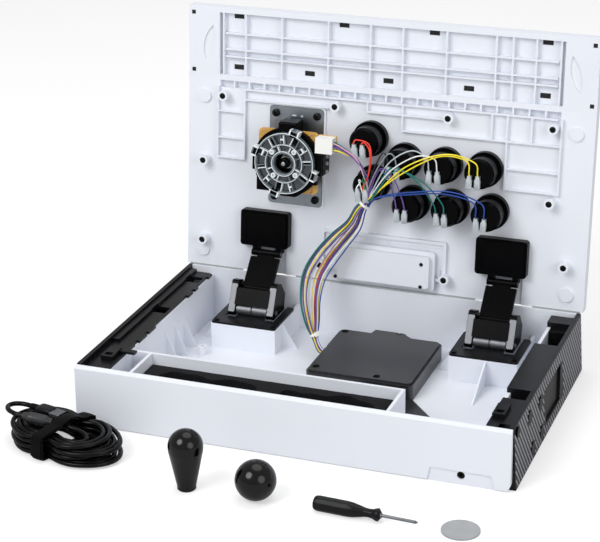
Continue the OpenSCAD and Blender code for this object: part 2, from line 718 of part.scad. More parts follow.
module lid_shell() color(white_plastic) {
    on_lid() difference() {
        union() {
            difference() {
                translate([0, (lid_start + fold_s) / 2, -lid_t]) linear_extrude(lid_t)
                    round_rect(2 * lid_half, fold_s - lid_start, lid_corner_r * 0.3);
                box([-lid_half + wall, lid_start + wall, -lid_t - cut], [lid_half - wall, band_s, -skin_t]);
                box([-lid_half + wall, lid_start + wall, -lid_t - cut], [lid_half - wall, band_s + 4, -lid_t + sheet_t]);
            }
            for (s = [0.22, 0.44]) box([-lid_half + 1, s * lid_l, -lid_t + sheet_t], [lid_half - 1, s * lid_l + rib_t, -skin_t + eps]);
            lid_ribs();
            pad_frame();
            for (p = boss_shares) translate([p[0] * half_w, p[1] * lid_l, -eps]) cylinder(d = boss_d, h = boss_h + eps);
            for (p = flat_boss_shares) translate([p[0] * half_w, p[1] * lid_l, -eps]) cylinder(d = flat_boss_d, h = flat_boss_h + eps);
            translate([lever_x, lever_s, -eps]) linear_extrude(2 + eps) round_rect(plate_w + 4, plate_l + 4, 4);
        }
        translate([lever_x, lever_s, 1]) linear_extrude(cut + 2) round_rect(plate_w + 0.6, plate_l + 0.6, 3);
        translate([lever_x, lever_s, -lid_t]) cylinder(d = gate_hole_d, h = lid_t + 3);
        for (i = [0 : 7]) translate([button_x_shares[i] * half_w, button_s_shares[i] * lid_l, -lid_t - cut])
            cylinder(d = button_hole_d, h = lid_t + 3);
        for (p = boss_shares) translate([p[0] * half_w, p[1] * lid_l, -1]) cylinder(d = screw_head_d, h = boss_h + 2);
        translate([0, 0, -lid_t - cut]) slab(pad_x0 + 8, pad_s0 + 6, pad_x1 - 8, pad_s1 - 6, lid_t + 3, 2);
        pocket_row();
        for (s = hinge_x_shares) box([s * half_w - neck_w / 2 - 2, lid_start - cut, -2], [s * half_w + neck_w / 2 + 2, neck_s + 5, cut]);
    }
    on_strip() front_strip();
}

module top_faceplate() color(dark_plastic) on_lid() difference() {
    box([-lid_half + wall, lid_start + wall, -lid_t], [lid_half - wall, band_s + 4, -lid_t + sheet_t]);
    translate([lever_x, lever_s, -lid_t - cut]) cylinder(d = gate_hole_d, h = lid_t);
    for (i = [0 : 7]) translate([button_x_shares[i] * half_w, button_s_shares[i] * lid_l, -lid_t - cut])
        cylinder(d = button_hole_d, h = lid_t);
    translate([0, 0, -lid_t - cut]) slab(pad_x0 + 8, pad_s0 + 6, pad_x1 - 8, pad_s1 - 6, lid_t, 2);
}

module lid_screws() color(black_plastic) on_lid() {
    for (p = boss_shares) translate([p[0] * half_w, p[1] * lid_l, boss_h - 3])
        screw(screw_head_d, 2, screw_head_d * 0.55, boss_h - 3);
    for (i = [-1, 1], j = [-1, 1])
        translate([lever_x + i * (plate_w / 2 - 6.5), lever_s + j * (plate_l / 2 - 7), 1 + plate_t])
            screw(7.5, 3, 2, plate_t);
}

// Cover behind the touchpad, with its screws' holes.
cover_lid_h = 12;

module touchpad_cover() color(white_plastic) on_lid() difference() {
    union() {
        translate([0, 0, rib_h]) slab(pad_x0 + 16, pad_s0 - 9, pad_x1 - 10, pad_s1 - 10, 3, 3);
        translate([0, 0, rib_h]) slab(pad_x0 + 20, pad_s0 - 6, pad_x1 - 14, pad_s1 - 14, cover_lid_h - rib_h, 3);
    }
    for (p = [[pad_x0 + 18, pad_s0 - 5], [pad_x1 - 22, pad_s0 - 5], [pad_x1 - 22, pad_s1 - 22]])
        translate([p[0], p[1], cover_lid_h - 2]) cylinder(d = 4, h = 4);
}

// Lever, drawn round its own axis and placed on the lid
plate_t = 1.6;

module at_lever() on_lid() translate([lever_x, lever_s, 1]) children();

module lever_mount_plate() color([0.55, 0.57, 0.60]) at_lever() difference() {
    linear_extrude(plate_t) round_rect(plate_w, plate_l, 4);
    translate([0, 0, -cut]) cylinder(d = gate_hole_d - 2, h = plate_t + 2 * cut);
    for (i = [-1, 1], j = [-1, 1]) translate([i * (plate_w / 2 - 6.5), j * (plate_l / 2 - 7), -cut])
        cylinder(d = 2, h = plate_t + 2 * cut);
    translate([-3, plate_l / 2 - 8, -cut]) linear_extrude(plate_t + 2 * cut) round_rect(6, 2, 0.9);
    for (p = [[5, 1], [-10, -1]]) translate([p[0], p[1] * (plate_l / 2 - 8), -cut]) cylinder(d = 3, h = plate_t + 2 * cut);
}

housing_d = 56;
gimbal_d = 18;
socket_t = 5;
pivot_ball_d = 12;
housing_h0 = plate_t;
board_h0 = gate_h - gate_t - 9;

module lever_housing() color(black_plastic) at_lever() difference() {
    union() {
        translate([0, 0, housing_h0]) cylinder(d = housing_d, h = board_h0 - housing_h0 - seam);
        for (a = [0 : 90 : 270]) rotate(a) translate([housing_d / 2 - 4, 0, (board_h0 + housing_h0 - seam) / 2])
            cube([8, 22, board_h0 - housing_h0 - seam], center = true);
    }
    translate([0, 0, housing_h0 - cut]) cylinder(d = gate_hole_d + 4, h = pivot_h - socket_t / 2 - housing_h0 + cut);
    translate([0, 0, pivot_h + socket_t / 2]) cylinder(d = 40, h = board_h0);
    cylinder(d = gimbal_d + 2 * seam, h = board_h0);
}

module lever_switch_board() color([0.85, 0.60, 0.18]) at_lever() {
    translate([0, 0, board_h0]) linear_extrude(1.6) difference() {
        union() {
            round_rect(plate_w + 6, plate_w + 6, 5);
            translate([plate_w / 2 + 12, 21]) square([18, 16], center = true);
        }
        circle(d = 34);
    }
    color(black_plastic) for (a = [0 : 90 : 270]) rotate(a)
        translate([23, 0, board_h0 + 1.6]) translate([0, 0, 3.2]) cube([8, 19, 6.4], center = true);
}

// Restrictor gate: a ribbed disc with rims and four clips.
module lever_gate() color([0.45, 0.50, 0.53]) at_lever() difference() {
    union() {
        translate([0, 0, gate_h - gate_t]) cylinder(d = gate_d - 1, h = 1.5);
        translate([0, 0, gate_h - gate_t]) linear_extrude(gate_t) {
            difference() {
                circle(d = gate_d);
                circle(d = gate_d - 4);
            }
            difference() {
                circle(d = 36);
                circle(d = 33);
            }
            for (a = [0 : 15 : 345]) rotate(a) translate([23, 0]) square([11.2, 1.4], center = true);
            for (a = [45 : 90 : 315]) rotate(a) translate([gate_d / 2 - 1, 0]) square([7, 10], center = true);
        }
        translate([0, 0, gate_h - gate_t]) cylinder(d = 28, h = gate_t + 1);
    }
    translate([0, 0, gate_h - gate_t - cut]) linear_extrude(gate_t + 3 * cut)
        intersection() {
            rotate(45) square(19, center = true);
            circle(d = 24);
        }
    for (a = [45 : 90 : 315]) rotate(a) translate([gate_d / 2, 0, gate_h - gate_t / 2])
        cube([2.4, 5, gate_t + cut], center = true);
}

module lever_connector() color([0.95, 0.95, 0.93]) at_lever() translate([plate_w / 2 + 12, 21, board_h0 + 1.6])
    difference() {
        translate([0, 0, 6]) cube([17, 15, 12], center = true);
        translate([9, 0, 6]) cube([3, 12, 8], center = true);
    }

// The shaft tilts about two crossed axes at the gimbal's centre.
shaft_top = 44;
shaft_foot = gate_h + 1;

module lever_gimbal() color(steel) at_lever() translate([0, 0, pivot_h]) difference() {
    intersection() {
        sphere(d = gimbal_d);
        cube([gimbal_d, gimbal_d, socket_t - 1], center = true);
    }
    sphere(d = pivot_ball_d + 2 * seam);
}

module lever_shaft() color(steel) at_lever() {
    translate([0, 0, -shaft_top]) cylinder(d = shaft_d, h = shaft_top + pivot_h);
    translate([0, 0, -shaft_top - 8]) cylinder(d = 6, h = 8 + eps);
    translate([0, 0, pivot_h]) sphere(d = pivot_ball_d);
    translate([0, 0, pivot_h]) cylinder(d = shaft_d, h = shaft_foot - pivot_h);
    color(black_plastic) translate([0, 0, gate_h - gate_t - 10]) cylinder(d = 12, h = 8);
}

// Buttons

module at_button(i) on_lid()
    translate([button_x_shares[i] * half_w, button_s_shares[i] * lid_l, 0]) children();

module button_housing() difference() {
    union() {
        translate([0, 0, -lid_t - flange_t]) cylinder(d = flange_d, h = flange_t);
        translate([0, 0, -lid_t - eps]) cylinder(d = button_hole_d - 2 * seam, h = lid_t + nut_t);
        cylinder(d = nut_d, h = nut_t, $fn = 96);
        translate([0, 0, nut_t - eps]) cylinder(d = button_hole_d - 1, h = button_depth - nut_t - 3);
        translate([0, 0, button_depth - 3 - eps]) cylinder(d1 = button_hole_d - 1, d2 = button_hole_d - 5, h = 3);
    }
    translate([0, 0, -lid_t - flange_t - cut]) cylinder(d = plunger_d + 2 * seam, h = lid_t + flange_t + cut);
}

module button_housings() color(black_plastic) for (i = [0 : 7]) at_button(i) button_housing();

module button_terminals() color(steel) for (i = [0 : 7]) at_button(i)
    for (j = [-1, 1]) translate([-4 + j * 4, -3, button_depth]) {
        translate([-2, -2, 0]) cube([4, 4, 1]);
        translate([-1.8, -7, eps]) cube([3.6, 9, 3.4]);
    }

module button_plunger(i) color(black_plastic) at_button(i) {
    translate([0, 0, -lid_t - flange_t - button_travel - 1.5]) cylinder(d1 = plunger_d - 3, d2 = plunger_d, h = 1.5);
    translate([0, 0, -lid_t - flange_t - button_travel - eps]) cylinder(d = plunger_d, h = button_travel + flange_t + lid_t - button_travel - 4);
}

module button_plunger_1() button_plunger(0);
module button_plunger_2() button_plunger(1);
module button_plunger_3() button_plunger(2);
module button_plunger_4() button_plunger(3);
module button_plunger_5() button_plunger(4);
module button_plunger_6() button_plunger(5);
module button_plunger_7() button_plunger(6);
module button_plunger_8() button_plunger(7);

module touchpad() color(dark_plastic) on_lid() translate([0, 0, -lid_t - 1])
    slab(pad_x0 + 8 + seam, pad_s0 + 6 + seam, pad_x1 - 8 - seam, pad_s1 - 6 - seam, lid_t + 1 - pad_travel, 2);

// Side controls and latches

module side_button(i) color(black_plastic)
    translate([half_w + panel_flare * (1 - side_button_z_shares[i]) + 0.5, side_button_y_shares[i] * half_d, side_button_z_shares[i] * case_h])
        rotate([0, -90, 0]) cylinder(d = side_button_d, h = 8);

module function_button_1() side_button(0);
module function_button_2() side_button(1);
module function_button_3() side_button(2);
module function_button_4() side_button(3);

module release_button() color(dark_plastic)
    translate([half_w + panel_flare * 0.14 + 1.5, release_y, release_z])
        rotate([0, -90, 0]) cylinder(d = release_d, h = 12);

// Latch standing on its rail's front deck, with a hook and an arm over the inner wall.
latch_y = -0.69 * half_d;
latch_l = 22;
latch_h = case_h - 1 - deck_top;
arm_w = 6;

module latch(x0, x1, arm_end) color(black_plastic) translate([0, latch_y, deck_top + seam]) {
    difference() {
        box([x0, -latch_l / 2, 0], [x1, latch_l / 2, latch_h - seam]);
        box([x0 + 2, -latch_l * 0.36, 1.5], [x1 - 2, -latch_l * 0.1, latch_h]);
    }
    box([min(x0, arm_end), latch_l / 2 - arm_w, 0.5], [max(x1, arm_end), latch_l / 2 - eps, latch_h - seam - 1]);
}

module left_latch() latch(-tray_half + ledge_w + 1, left_wall_x - wall - 1, left_wall_x + 11);

module right_latch() latch(right_wall_x + 1, right_wall_x + 12, right_wall_x + 12);

// Loose accessories beside the case

module ball_top() color(black_plastic) translate([0.0135 * half_w, -1.592 * half_d, ball_d / 2])
    rotate([55, 0, -15]) difference() {
        sphere(d = ball_d, $fn = 96);
        translate([0, 0, -ball_d / 2 - 0.5]) cylinder(d = 9, h = 1.5);
        translate([0, 0, -ball_d / 2 - cut]) cylinder(d = top_bore_d, h = 15 + cut);
    }

module bat_top() color(black_plastic) translate([-0.293 * half_w, -1.611 * half_d, 0]) difference() {
    rotate_extrude($fn = 96) bat_profile();
    translate([0, 0, -cut]) cylinder(d = top_bore_d, h = 15 + cut);
}

// Half outline of the bat top: straight flare from the foot into a round head.
module bat_profile() {
    foot_r = 0.27 * bat_d;
    head_r = bat_d / 2;
    head_z = bat_h - head_r;
    polygon([[0, 0], [foot_r - 1, 0], [foot_r, 1], [foot_r, 0.06 * bat_h], [head_r * 0.985, head_z * 0.9], [head_r, head_z], [0, head_z]]);
    intersection() {
        translate([0, head_z]) circle(head_r);
        translate([0, head_z - cut]) square([head_r, head_r + cut]);
    }
}

driver_d = 13;
driver_grip_l = 58;
driver_blade_l = 30;
driver_blade_d = 2.6;

// Half outline of the screwdriver's handle: a grip, a waist and a flared collar, given as shares.
module driver_profile() {
    polygon([for (p = [[0, 0], [0.41, 0], [0.47, 0.02], [0.5, 0.06], [0.5, 0.5], [0.47, 0.58], [0.38, 0.68],
        [0.3, 0.76], [0.28, 0.82], [0.31, 0.88], [0.42, 0.945], [0.42, 0.965], [0.32, 0.97], [0.32, 0.98],
        [0.22, 1], [0, 1]]) [p[0] * driver_d, p[1] * driver_grip_l]]);
}

module screwdriver() translate([0.276 * half_w, -1.601 * half_d, driver_d / 2]) rotate([0, 90, -3]) {
    color(black_plastic) intersection() {
        rotate_extrude() driver_profile();
        rotate(22.5) cylinder(d = 1.045 * driver_d, h = driver_grip_l, $fn = 8);
    }
    color(steel) translate([0, 0, driver_grip_l - eps]) cylinder(d = driver_blade_d, h = driver_blade_l);
}

module blanking_disc() color([0.62, 0.63, 0.64]) translate([0.89 * half_w, -half_d - 74, 0])
    cylinder(d = 32, h = 1.5, $fn = 96);

// Cable hank: loops spiral in and out again in four layers, drawn in at the tied waist
hank_x = -0.945 * half_w;
hank_y = -1.351 * half_d;
hank_turn = -14;
hank_a = 37;
hank_b = 19;
hank_fan = 4.5;
waist_in = 8;
loops_per_layer = 3;
layers = 4;
hank_loops = loops_per_layer * layers;
hank_step = cable_d + 1;
layer_step = cable_d + 0.7;
tie_t = 1.4;
plug_w = 12;
plug_t = 7.5;
inline_d = 10;
inline_l = 27;
first_turn = 0.4167;
last_turn = hank_loops - 0.4;
rings_per_loop = 24;
bend_rings = 14;
hank_top = tie_t + seam + layers * layer_step;
function ease(t) = t <= 0 ? 0 : t >= 1 ? 1 : t * t * (3 - 2 * t);
function hank_offset(u) = hank_step * abs(((u + loops_per_layer) % (2 * loops_per_layer)) - loops_per_layer);
function hank_level(u) = ease((u - loops_per_layer + 0.25) * 2) + ease((u - 2 * loops_per_layer + 0.25) * 2)
    + ease((u - 3 * loops_per_layer + 0.25) * 2);
function hank_point(u) = let (t = 360 * u + 90, o = hank_offset(u), q = cos(t), v = hank_level(u))
    [(hank_a + o) * q + hank_fan * cos(180 * v) * pow(max(0, q), 2), sin(t) * (hank_b + o - waist_in * exp(-q * q * 9)),
        tie_t + seam + cable_d / 2 + layer_step * v];
hank_rings = floor((last_turn - first_turn) * rings_per_loop);
hank_core = [for (i = [0 : hank_rings]) hank_point(first_turn + (last_turn - first_turn) * i / hank_rings)];
hank_last = len(hank_core) - 1;

// The free end leaves the coil, passes under the tie and through the connector, and turns back into the plug.
inline_way = unit([-0.93, -0.34, 0.13]);
inline_in = [-0.25 * hank_a, -0.13 * hank_a, hank_top + cable_d / 2];
inline_out = inline_in + inline_l * inline_way;
plug_in = [-1.19 * hank_a, 0.21 * hank_a, hank_top + plug_t / 2 + seam];
function bend(a, b, c, d, t) = pow(1 - t, 3) * a + 3 * pow(1 - t, 2) * t * b + 3 * (1 - t) * t * t * c + t * t * t * d;
function bend_path(a, b, c, d) = [for (i = [1 : bend_rings]) bend(a, b, c, d, i / bend_rings)];
coil_way = unit(hank_core[hank_last] - hank_core[hank_last - 1]);
free_turn = bend_path(hank_core[hank_last], hank_core[hank_last] + 0.49 * hank_a * coil_way,
    inline_in - 1.27 * hank_a * inline_way, inline_in);
free_loop = bend_path(inline_out, inline_out + 0.7 * hank_a * inline_way, plug_in - [0.7 * hank_a, 0, 0], plug_in);
hank_in = hank_core[0] + cable_d * unit(hank_core[0] - hank_core[1]);
hank_path = concat([hank_in], hank_core, free_turn, free_loop);

function unit(v) = v / norm(v);
function flat_normal(d) = unit([-d[1], d[0], 0]);
function tangent(p, i) = i == 0 ? unit(p[1] - p[0])
    : i == len(p) - 1 ? unit(p[i] - p[i - 1]) : unit(unit(p[i + 1] - p[i]) + unit(p[i] - p[i - 1]));
function ring(p, i, d, sides) = let (t = tangent(p, i), n = flat_normal(t), b = cross(t, n))
    [for (k = [0 : sides - 1]) p[i] + d / 2 * (cos(360 * k / sides) * n + sin(360 * k / sides) * b)];

// A tube of the given diameter swept along a list of points.
module tube(p, d, sides) {
    rings = len(p);
    pts = [for (i = [0 : rings - 1]) each ring(p, i, d, sides)];
    quads = [for (i = [0 : rings - 2], k = [0 : sides - 1])
        each [[i * sides + k, (i + 1) * sides + (k + 1) % sides, i * sides + (k + 1) % sides],
            [i * sides + k, (i + 1) * sides + k, (i + 1) * sides + (k + 1) % sides]]];
    start = [for (k = [1 : sides - 2]) [0, k, k + 1]];
    last = (rings - 1) * sides;
    end = [for (k = [1 : sides - 2]) [last, last + k + 1, last + k]];
    polyhedron(pts, concat(quads, start, end));
}

// Least gap between points of the hank that are over half a loop apart along it.
hank_gap = min([for (i = [0 : 3 : hank_last], j = [i + rings_per_loop / 2 : hank_last])
    norm(hank_core[i] - hank_core[j])]) - cable_d;
echo(hank_gap = hank_gap);

module at_hank() translate([hank_x, hank_y, 0]) rotate(hank_turn) children();

module cable_hank() color(black_plastic) at_hank() tube(hank_path, cable_d, 6);

tie_h = 2 * (tie_t + seam) + (layers + 1) * layer_step;
tie_w = 12;
tie_open = waist_in * (1 - exp(-9 * pow(tie_w / 2 / hank_a, 2)));
tie_half = hank_b + loops_per_layer * hank_step - waist_in + tie_open + cable_d / 2 + seam;

module cable_tie() color(dark_plastic) at_hank() translate([-tie_w / 2, 0, tie_h / 2])
    rotate([90, 0, 90]) linear_extrude(tie_w) difference() {
        round_rect(2 * (tie_half + tie_t), tie_h, 3);
        round_rect(2 * tie_half, tie_h - 2 * tie_t, 3 - tie_t);
    }

// Places a piece at a cut end of the cable, with its Z axis along the cable.
module at_end(p, towards) {
    d = unit(towards);
    at_hank() translate(p) rotate([0, acos(d[2]), atan2(d[1], d[0])]) children();
}

module usb_plug() at_end(plug_in + [seam, 0, 0], [1, 0, 0]) {
    color(black_plastic) cylinder(d1 = cable_d + 1, d2 = plug_t - 1, h = 0.22 * hank_a);
    color(black_plastic) translate([0, 0, 0.22 * hank_a - eps]) linear_extrude(0.45 * hank_a)
        round_rect(plug_t, plug_w, 2);
    color(steel) translate([0, 0, 0.67 * hank_a - 2 * eps]) linear_extrude(0.3 * hank_a) round_rect(4.5, plug_w - 1, 0.5);
}

module inline_connector() color(black_plastic) at_end(inline_in, inline_way) difference() {
    union() {
        cylinder(d1 = 0.66 * inline_d, d2 = 0.8 * inline_d, h = 0.18 * inline_l);
        translate([0, 0, 0.16 * inline_l]) cylinder(d = inline_d, h = 0.68 * inline_l);
        translate([0, 0, 0.82 * inline_l]) cylinder(d1 = 0.8 * inline_d, d2 = 0.66 * inline_d, h = 0.18 * inline_l);
    }
    translate([0, 0, -cut]) cylinder(d = cable_d + 4 * seam, h = inline_l + 2 * cut);
}

// Harness between the board and the lid
harness_d = 9;
harness_shares = [[-0.18, 0.458, 16], [-0.205, 0.4733, 26], [-0.25, 0.5344, 40], [-0.3, 0.626, 58],
    [-0.32, 0.7099, 77], [-0.29, 0.771, 94], [-0.22, 0.8168, 112], [-0.13, 0.8397, 128], [-0.045, 0.855, 142]];
harness_route = [for (p = harness_shares) [p[0] * half_w, p[1] * half_d, p[2]]];

module harness_loop() color(dark_plastic) tube(harness_route, harness_d, 8);

// The harness's end on the lid, as X, up the lid and out of it.
lid_route = [for (p = [[-0.04, 0.3197, 27], [0.015, 0.3327, 25], [0.065, 0.3709, 20], [0.07, 0.413, 16]])
    [p[0] * half_w, p[1] * lid_l, p[2]]];

module harness_lid() color(dark_plastic) on_lid() tube(lid_route, harness_d, 8);

base_tray();
anti_slip_mat();
left_side_panel();
right_side_panel();
left_rail();
right_rail();
foam_insert();
board_cover();
main_board();
headset_jack();
left_hinge_bracket();
right_hinge_bracket();
hinge_pins();
base_screws();
harness_loop();
lid_shell();
top_faceplate();
lid_screws();
left_hinge_leaf();
right_hinge_leaf();
neck_pins();
touchpad_cover();
lever_mount_plate();
lever_housing();
lever_switch_board();
lever_gate();
lever_connector();
button_housings();
button_terminals();
harness_lid();
left_hinge_link();
right_hinge_link();
left_hinge_neck();
right_hinge_neck();
button_plunger_1();
button_plunger_2();
button_plunger_3();
button_plunger_4();
button_plunger_5();
button_plunger_6();
button_plunger_7();
button_plunger_8();
lever_gimbal();
lever_shaft();
touchpad();
release_button();
left_latch();
right_latch();
function_button_1();
function_button_2();
function_button_3();
function_button_4();
ball_top();
bat_top();
screwdriver();
blanking_disc();
cable_hank();
cable_tie();
usb_plug();
inline_connector();
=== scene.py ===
"""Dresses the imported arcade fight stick: finishes, wires, cable, foam, fittings, light and camera.

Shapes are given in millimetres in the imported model's frame and are scaled to metres as they become
pieces. Only the studio is in metres.
"""

import logging
import math
import random
from dataclasses import dataclass
from enum import Enum
from typing import Iterable, Sequence

import bmesh
import bpy
from mathutils import Matrix, Vector


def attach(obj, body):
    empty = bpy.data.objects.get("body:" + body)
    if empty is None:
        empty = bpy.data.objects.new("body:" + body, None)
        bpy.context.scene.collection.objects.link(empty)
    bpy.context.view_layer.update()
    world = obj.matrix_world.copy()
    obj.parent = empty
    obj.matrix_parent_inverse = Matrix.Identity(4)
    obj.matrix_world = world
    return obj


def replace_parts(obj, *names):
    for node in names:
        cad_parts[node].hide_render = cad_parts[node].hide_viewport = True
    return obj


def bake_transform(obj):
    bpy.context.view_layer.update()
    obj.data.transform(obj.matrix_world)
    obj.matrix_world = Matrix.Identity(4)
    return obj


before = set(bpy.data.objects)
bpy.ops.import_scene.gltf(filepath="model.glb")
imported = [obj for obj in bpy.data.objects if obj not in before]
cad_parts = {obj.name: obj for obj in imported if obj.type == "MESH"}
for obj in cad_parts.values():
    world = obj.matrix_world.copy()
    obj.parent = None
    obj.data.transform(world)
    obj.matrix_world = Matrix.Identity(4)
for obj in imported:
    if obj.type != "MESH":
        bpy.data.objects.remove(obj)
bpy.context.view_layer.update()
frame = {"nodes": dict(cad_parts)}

MM = 0.001
AXIS = 0.0005
MERGE = 1e-4
SHARP_ANGLE = math.radians(38)
BEVEL_ANGLE = math.radians(35)
LOG = logging.getLogger("fight_stick")

Place = tuple[float, float, float]
Pair = tuple[float, float]
Outline = Sequence[Pair]
Colour = tuple[float, float, float, float]


class Body(str, Enum):
    """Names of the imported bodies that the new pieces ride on."""

    BASE = "base"
    LID = "lid"
    LEFT_LINK = "left_link"
    RIGHT_LINK = "right_link"
    LEVER = "lever"


class Slot(str, Enum):
    """Material slots of the record, passed with each new piece but not read by this script."""

    WHITE = "white_plastic"
    BLACK = "black_plastic"
    DARK = "dark_plastic"
    STEEL = "steel"
    FOAM = "foam"
    GATE = "gate"
    CABLE = "cable"


# Places

STILL = Matrix()
HINGE_AT = Vector((0, 131, 58))
LID_LEAN = math.radians(180 - 95.46)
ON_LID = Matrix.Translation(HINGE_AT) @ Matrix.Rotation(LID_LEAN, 4, "X")
LID_UP = ON_LID.to_3x3() @ Vector((0, 1, 0))
LID_OUT = ON_LID.to_3x3() @ Vector((0, 0, 1))


def lid_at(x: float, s: float, h: float) -> Vector:
    """A point given across the lid, up the open lid and out of its inner face."""
    return ON_LID @ Vector((x, s, h))


def moved(x: float, y: float, z: float) -> Matrix:
    """A move by these lengths."""
    return Matrix.Translation((x, y, z))


def turned(degrees: float, axis: str = "Z") -> Matrix:
    """A turn about an axis of the frame."""
    return Matrix.Rotation(math.radians(degrees), 4, axis)


def aimed(way: Vector, side: str) -> Matrix:
    """A turn that takes the Z axis along a way and keeps the other named axis upward."""
    return way.to_track_quat("Z", side).to_matrix().to_4x4()


def tone(red: float, green: float, blue: float) -> Colour:
    """A screen colour from 0 to 255 as the opaque linear colour that a shader takes."""

    def linear(value: float) -> float:
        """One channel, linear."""
        share = value / 255
        return share / 12.92 if share <= 0.04045 else ((share + 0.055) / 1.055) ** 2.4

    return (linear(red), linear(green), linear(blue), 1)


# Meshes


def smooth_path(points: Sequence[Vector], steps: int) -> list[Vector]:
    """Samples a Catmull-Rom curve through the points.

    Args:
        points: what the curve passes through.
        steps: samples in each span.

    Returns:
        The samples, both ends included.
    """
    ends = [points[0] * 2 - points[1], *points, points[-1] * 2 - points[-2]]
    out: list[Vector] = []
    for i in range(1, len(ends) - 2):
        a, b, c, d = ends[i - 1 : i + 3]
        for k in range(steps):
            t = k / steps
            bend = (2 * a - 5 * b + 4 * c - d) * t * t + (3 * b - a - 3 * c + d) * t**3
            out.append(0.5 * (2 * b + (c - a) * t + bend))
    out.append(points[-1].copy())
    return out


def way_along(path: Sequence[Vector], i: int) -> Vector:
    """Direction of a path at one of its points."""
    return (path[min(i + 1, len(path) - 1)] - path[max(i - 1, 0)]).normalized()


def circle(sides: int) -> list[Pair]:
    """Cosine and sine of equal steps round a circle."""
    return [(math.cos(k * math.tau / sides), math.sin(k * math.tau / sides)) for k in range(sides)]


def rounded(width: float, depth: float, radius: float, steps: int = 6) -> list[Pair]:
    """Outline of a rectangle with round corners, centred, counter-clockwise."""
    out = []
    for i, (sx, sy) in enumerate(((1, 1), (-1, 1), (-1, -1), (1, -1))):
        x, y = sx * (width / 2 - radius), sy * (depth / 2 - radius)
        for k in range(steps + 1):
            a = (i + k / steps) * math.pi / 2
            out.append((x + radius * math.cos(a), y + radius * math.sin(a)))
    return out


class Maker:
    """Collects faces in one mesh, in millimetres, and finishes them as a piece."""

    block_faces = ((0, 2, 3, 1), (4, 5, 7, 6), (0, 1, 5, 4), (2, 6, 7, 3), (0, 4, 6, 2), (1, 3, 7, 5))

    def __init__(self) -> None:
        """Starts an empty mesh."""
        self.bm = bmesh.new()

    def corners(self, points: Iterable[Vector]) -> list[bmesh.types.BMVert]:
        """Adds corners."""
        return [self.bm.verts.new(point) for point in points]

    def face(self, corners: Sequence[bmesh.types.BMVert], slot: int = 0) -> None:
        """Adds a face over corners, in the material at that place."""
        self.bm.faces.new(corners).material_index = slot

    def block(self, low: Place, high: Place, place: Matrix = STILL, slot: int = 0) -> None:
        """Adds a block from its low to its high corner, moved by place."""
        (x0, y0, z0), (x1, y1, z1) = low, high
        ends = [(x, y, z) for z in (z0, z1) for y in (y0, y1) for x in (x0, x1)]
        made = self.corners(place @ Vector(end) for end in ends)
        for loop in self.block_faces:
            self.face([made[i] for i in loop], slot)

    def loft(self, rings: Sequence[Sequence[Vector]], slot: int = 0, caps: bool = True) -> None:
        """Joins rings of equally many points into one skin, closed by caps."""
        made = [self.corners(ring) for ring in rings]
        for low, high in zip(made, made[1:]):
            for k in range(len(low)):
                n = (k + 1) % len(low)
                self.face((low[k], low[n], high[n], high[k]), slot)
        if caps:
            self.face(made[0][::-1], slot)
            self.face(made[-1], slot)

    def stack(self, sections: Iterable[tuple[float, Outline]], place: Matrix = STILL, slot: int = 0) -> None:
        """Joins outlines, each at its height along the Z axis of place."""
        self.loft([[place @ Vector((x, y, z)) for x, y in outline] for z, outline in sections], slot)

    def lathe(
        self, profile: Outline, place: Matrix = STILL, sides: int = 48, slot: int = 0, caps: bool = True
    ) -> None:
        """Turns a profile of radius and height round the Z axis of place."""
        spokes = circle(sides)
        self.loft([[place @ Vector((r * c, r * s, z)) for c, s in spokes] for r, z in profile], slot, caps)

    def tube(self, path: Sequence[Vector], radius: float, sides: int = 8, slot: int = 0) -> None:
        """Adds a closed round tube along a path, of that radius and that many sides."""
        side = Vector((0, 0, 1))
        spokes = circle(sides)
        rings: list[list[Vector]] = []
        for i, point in enumerate(path):
            ahead = way_along(path, i)
            side = side - ahead * side.dot(ahead)
            if side.length < 1e-6:
                side = ahead.orthogonal()
            side.normalize()
            across = ahead.cross(side)
            rings.append([point + radius * (c * side + s * across) for c, s in spokes])
        self.loft(rings, slot)

    def mesh(self, name: str, merge: float = MERGE) -> bpy.types.Mesh:
        """Ends the mesh: merges corners nearer than merge and turns all faces outward."""
        bmesh.ops.remove_doubles(self.bm, verts=self.bm.verts, dist=merge)
        bmesh.ops.recalc_face_normals(self.bm, faces=self.bm.faces)
        mesh = bpy.data.meshes.new(name)
        self.bm.to_mesh(mesh)
        self.bm.free()
        return mesh

    def piece(
        self,
        name: str,
        materials: Sequence[bpy.types.Material],
        body: Body | None,
        slot: Slot,
        bevel: float = 0,
        segments: int = 2,
    ) -> bpy.types.Object:
        """Turns the mesh into a finished object, with the arguments of finish_mesh."""
        return finish_mesh(name, self.mesh(name), materials, body, bevel, segments)


def add_object(name: str, data: bpy.types.ID) -> bpy.types.Object:
    """Puts an object of this data in the scene."""
    obj = bpy.data.objects.new(name, data)
    bpy.context.collection.objects.link(obj)
    return obj


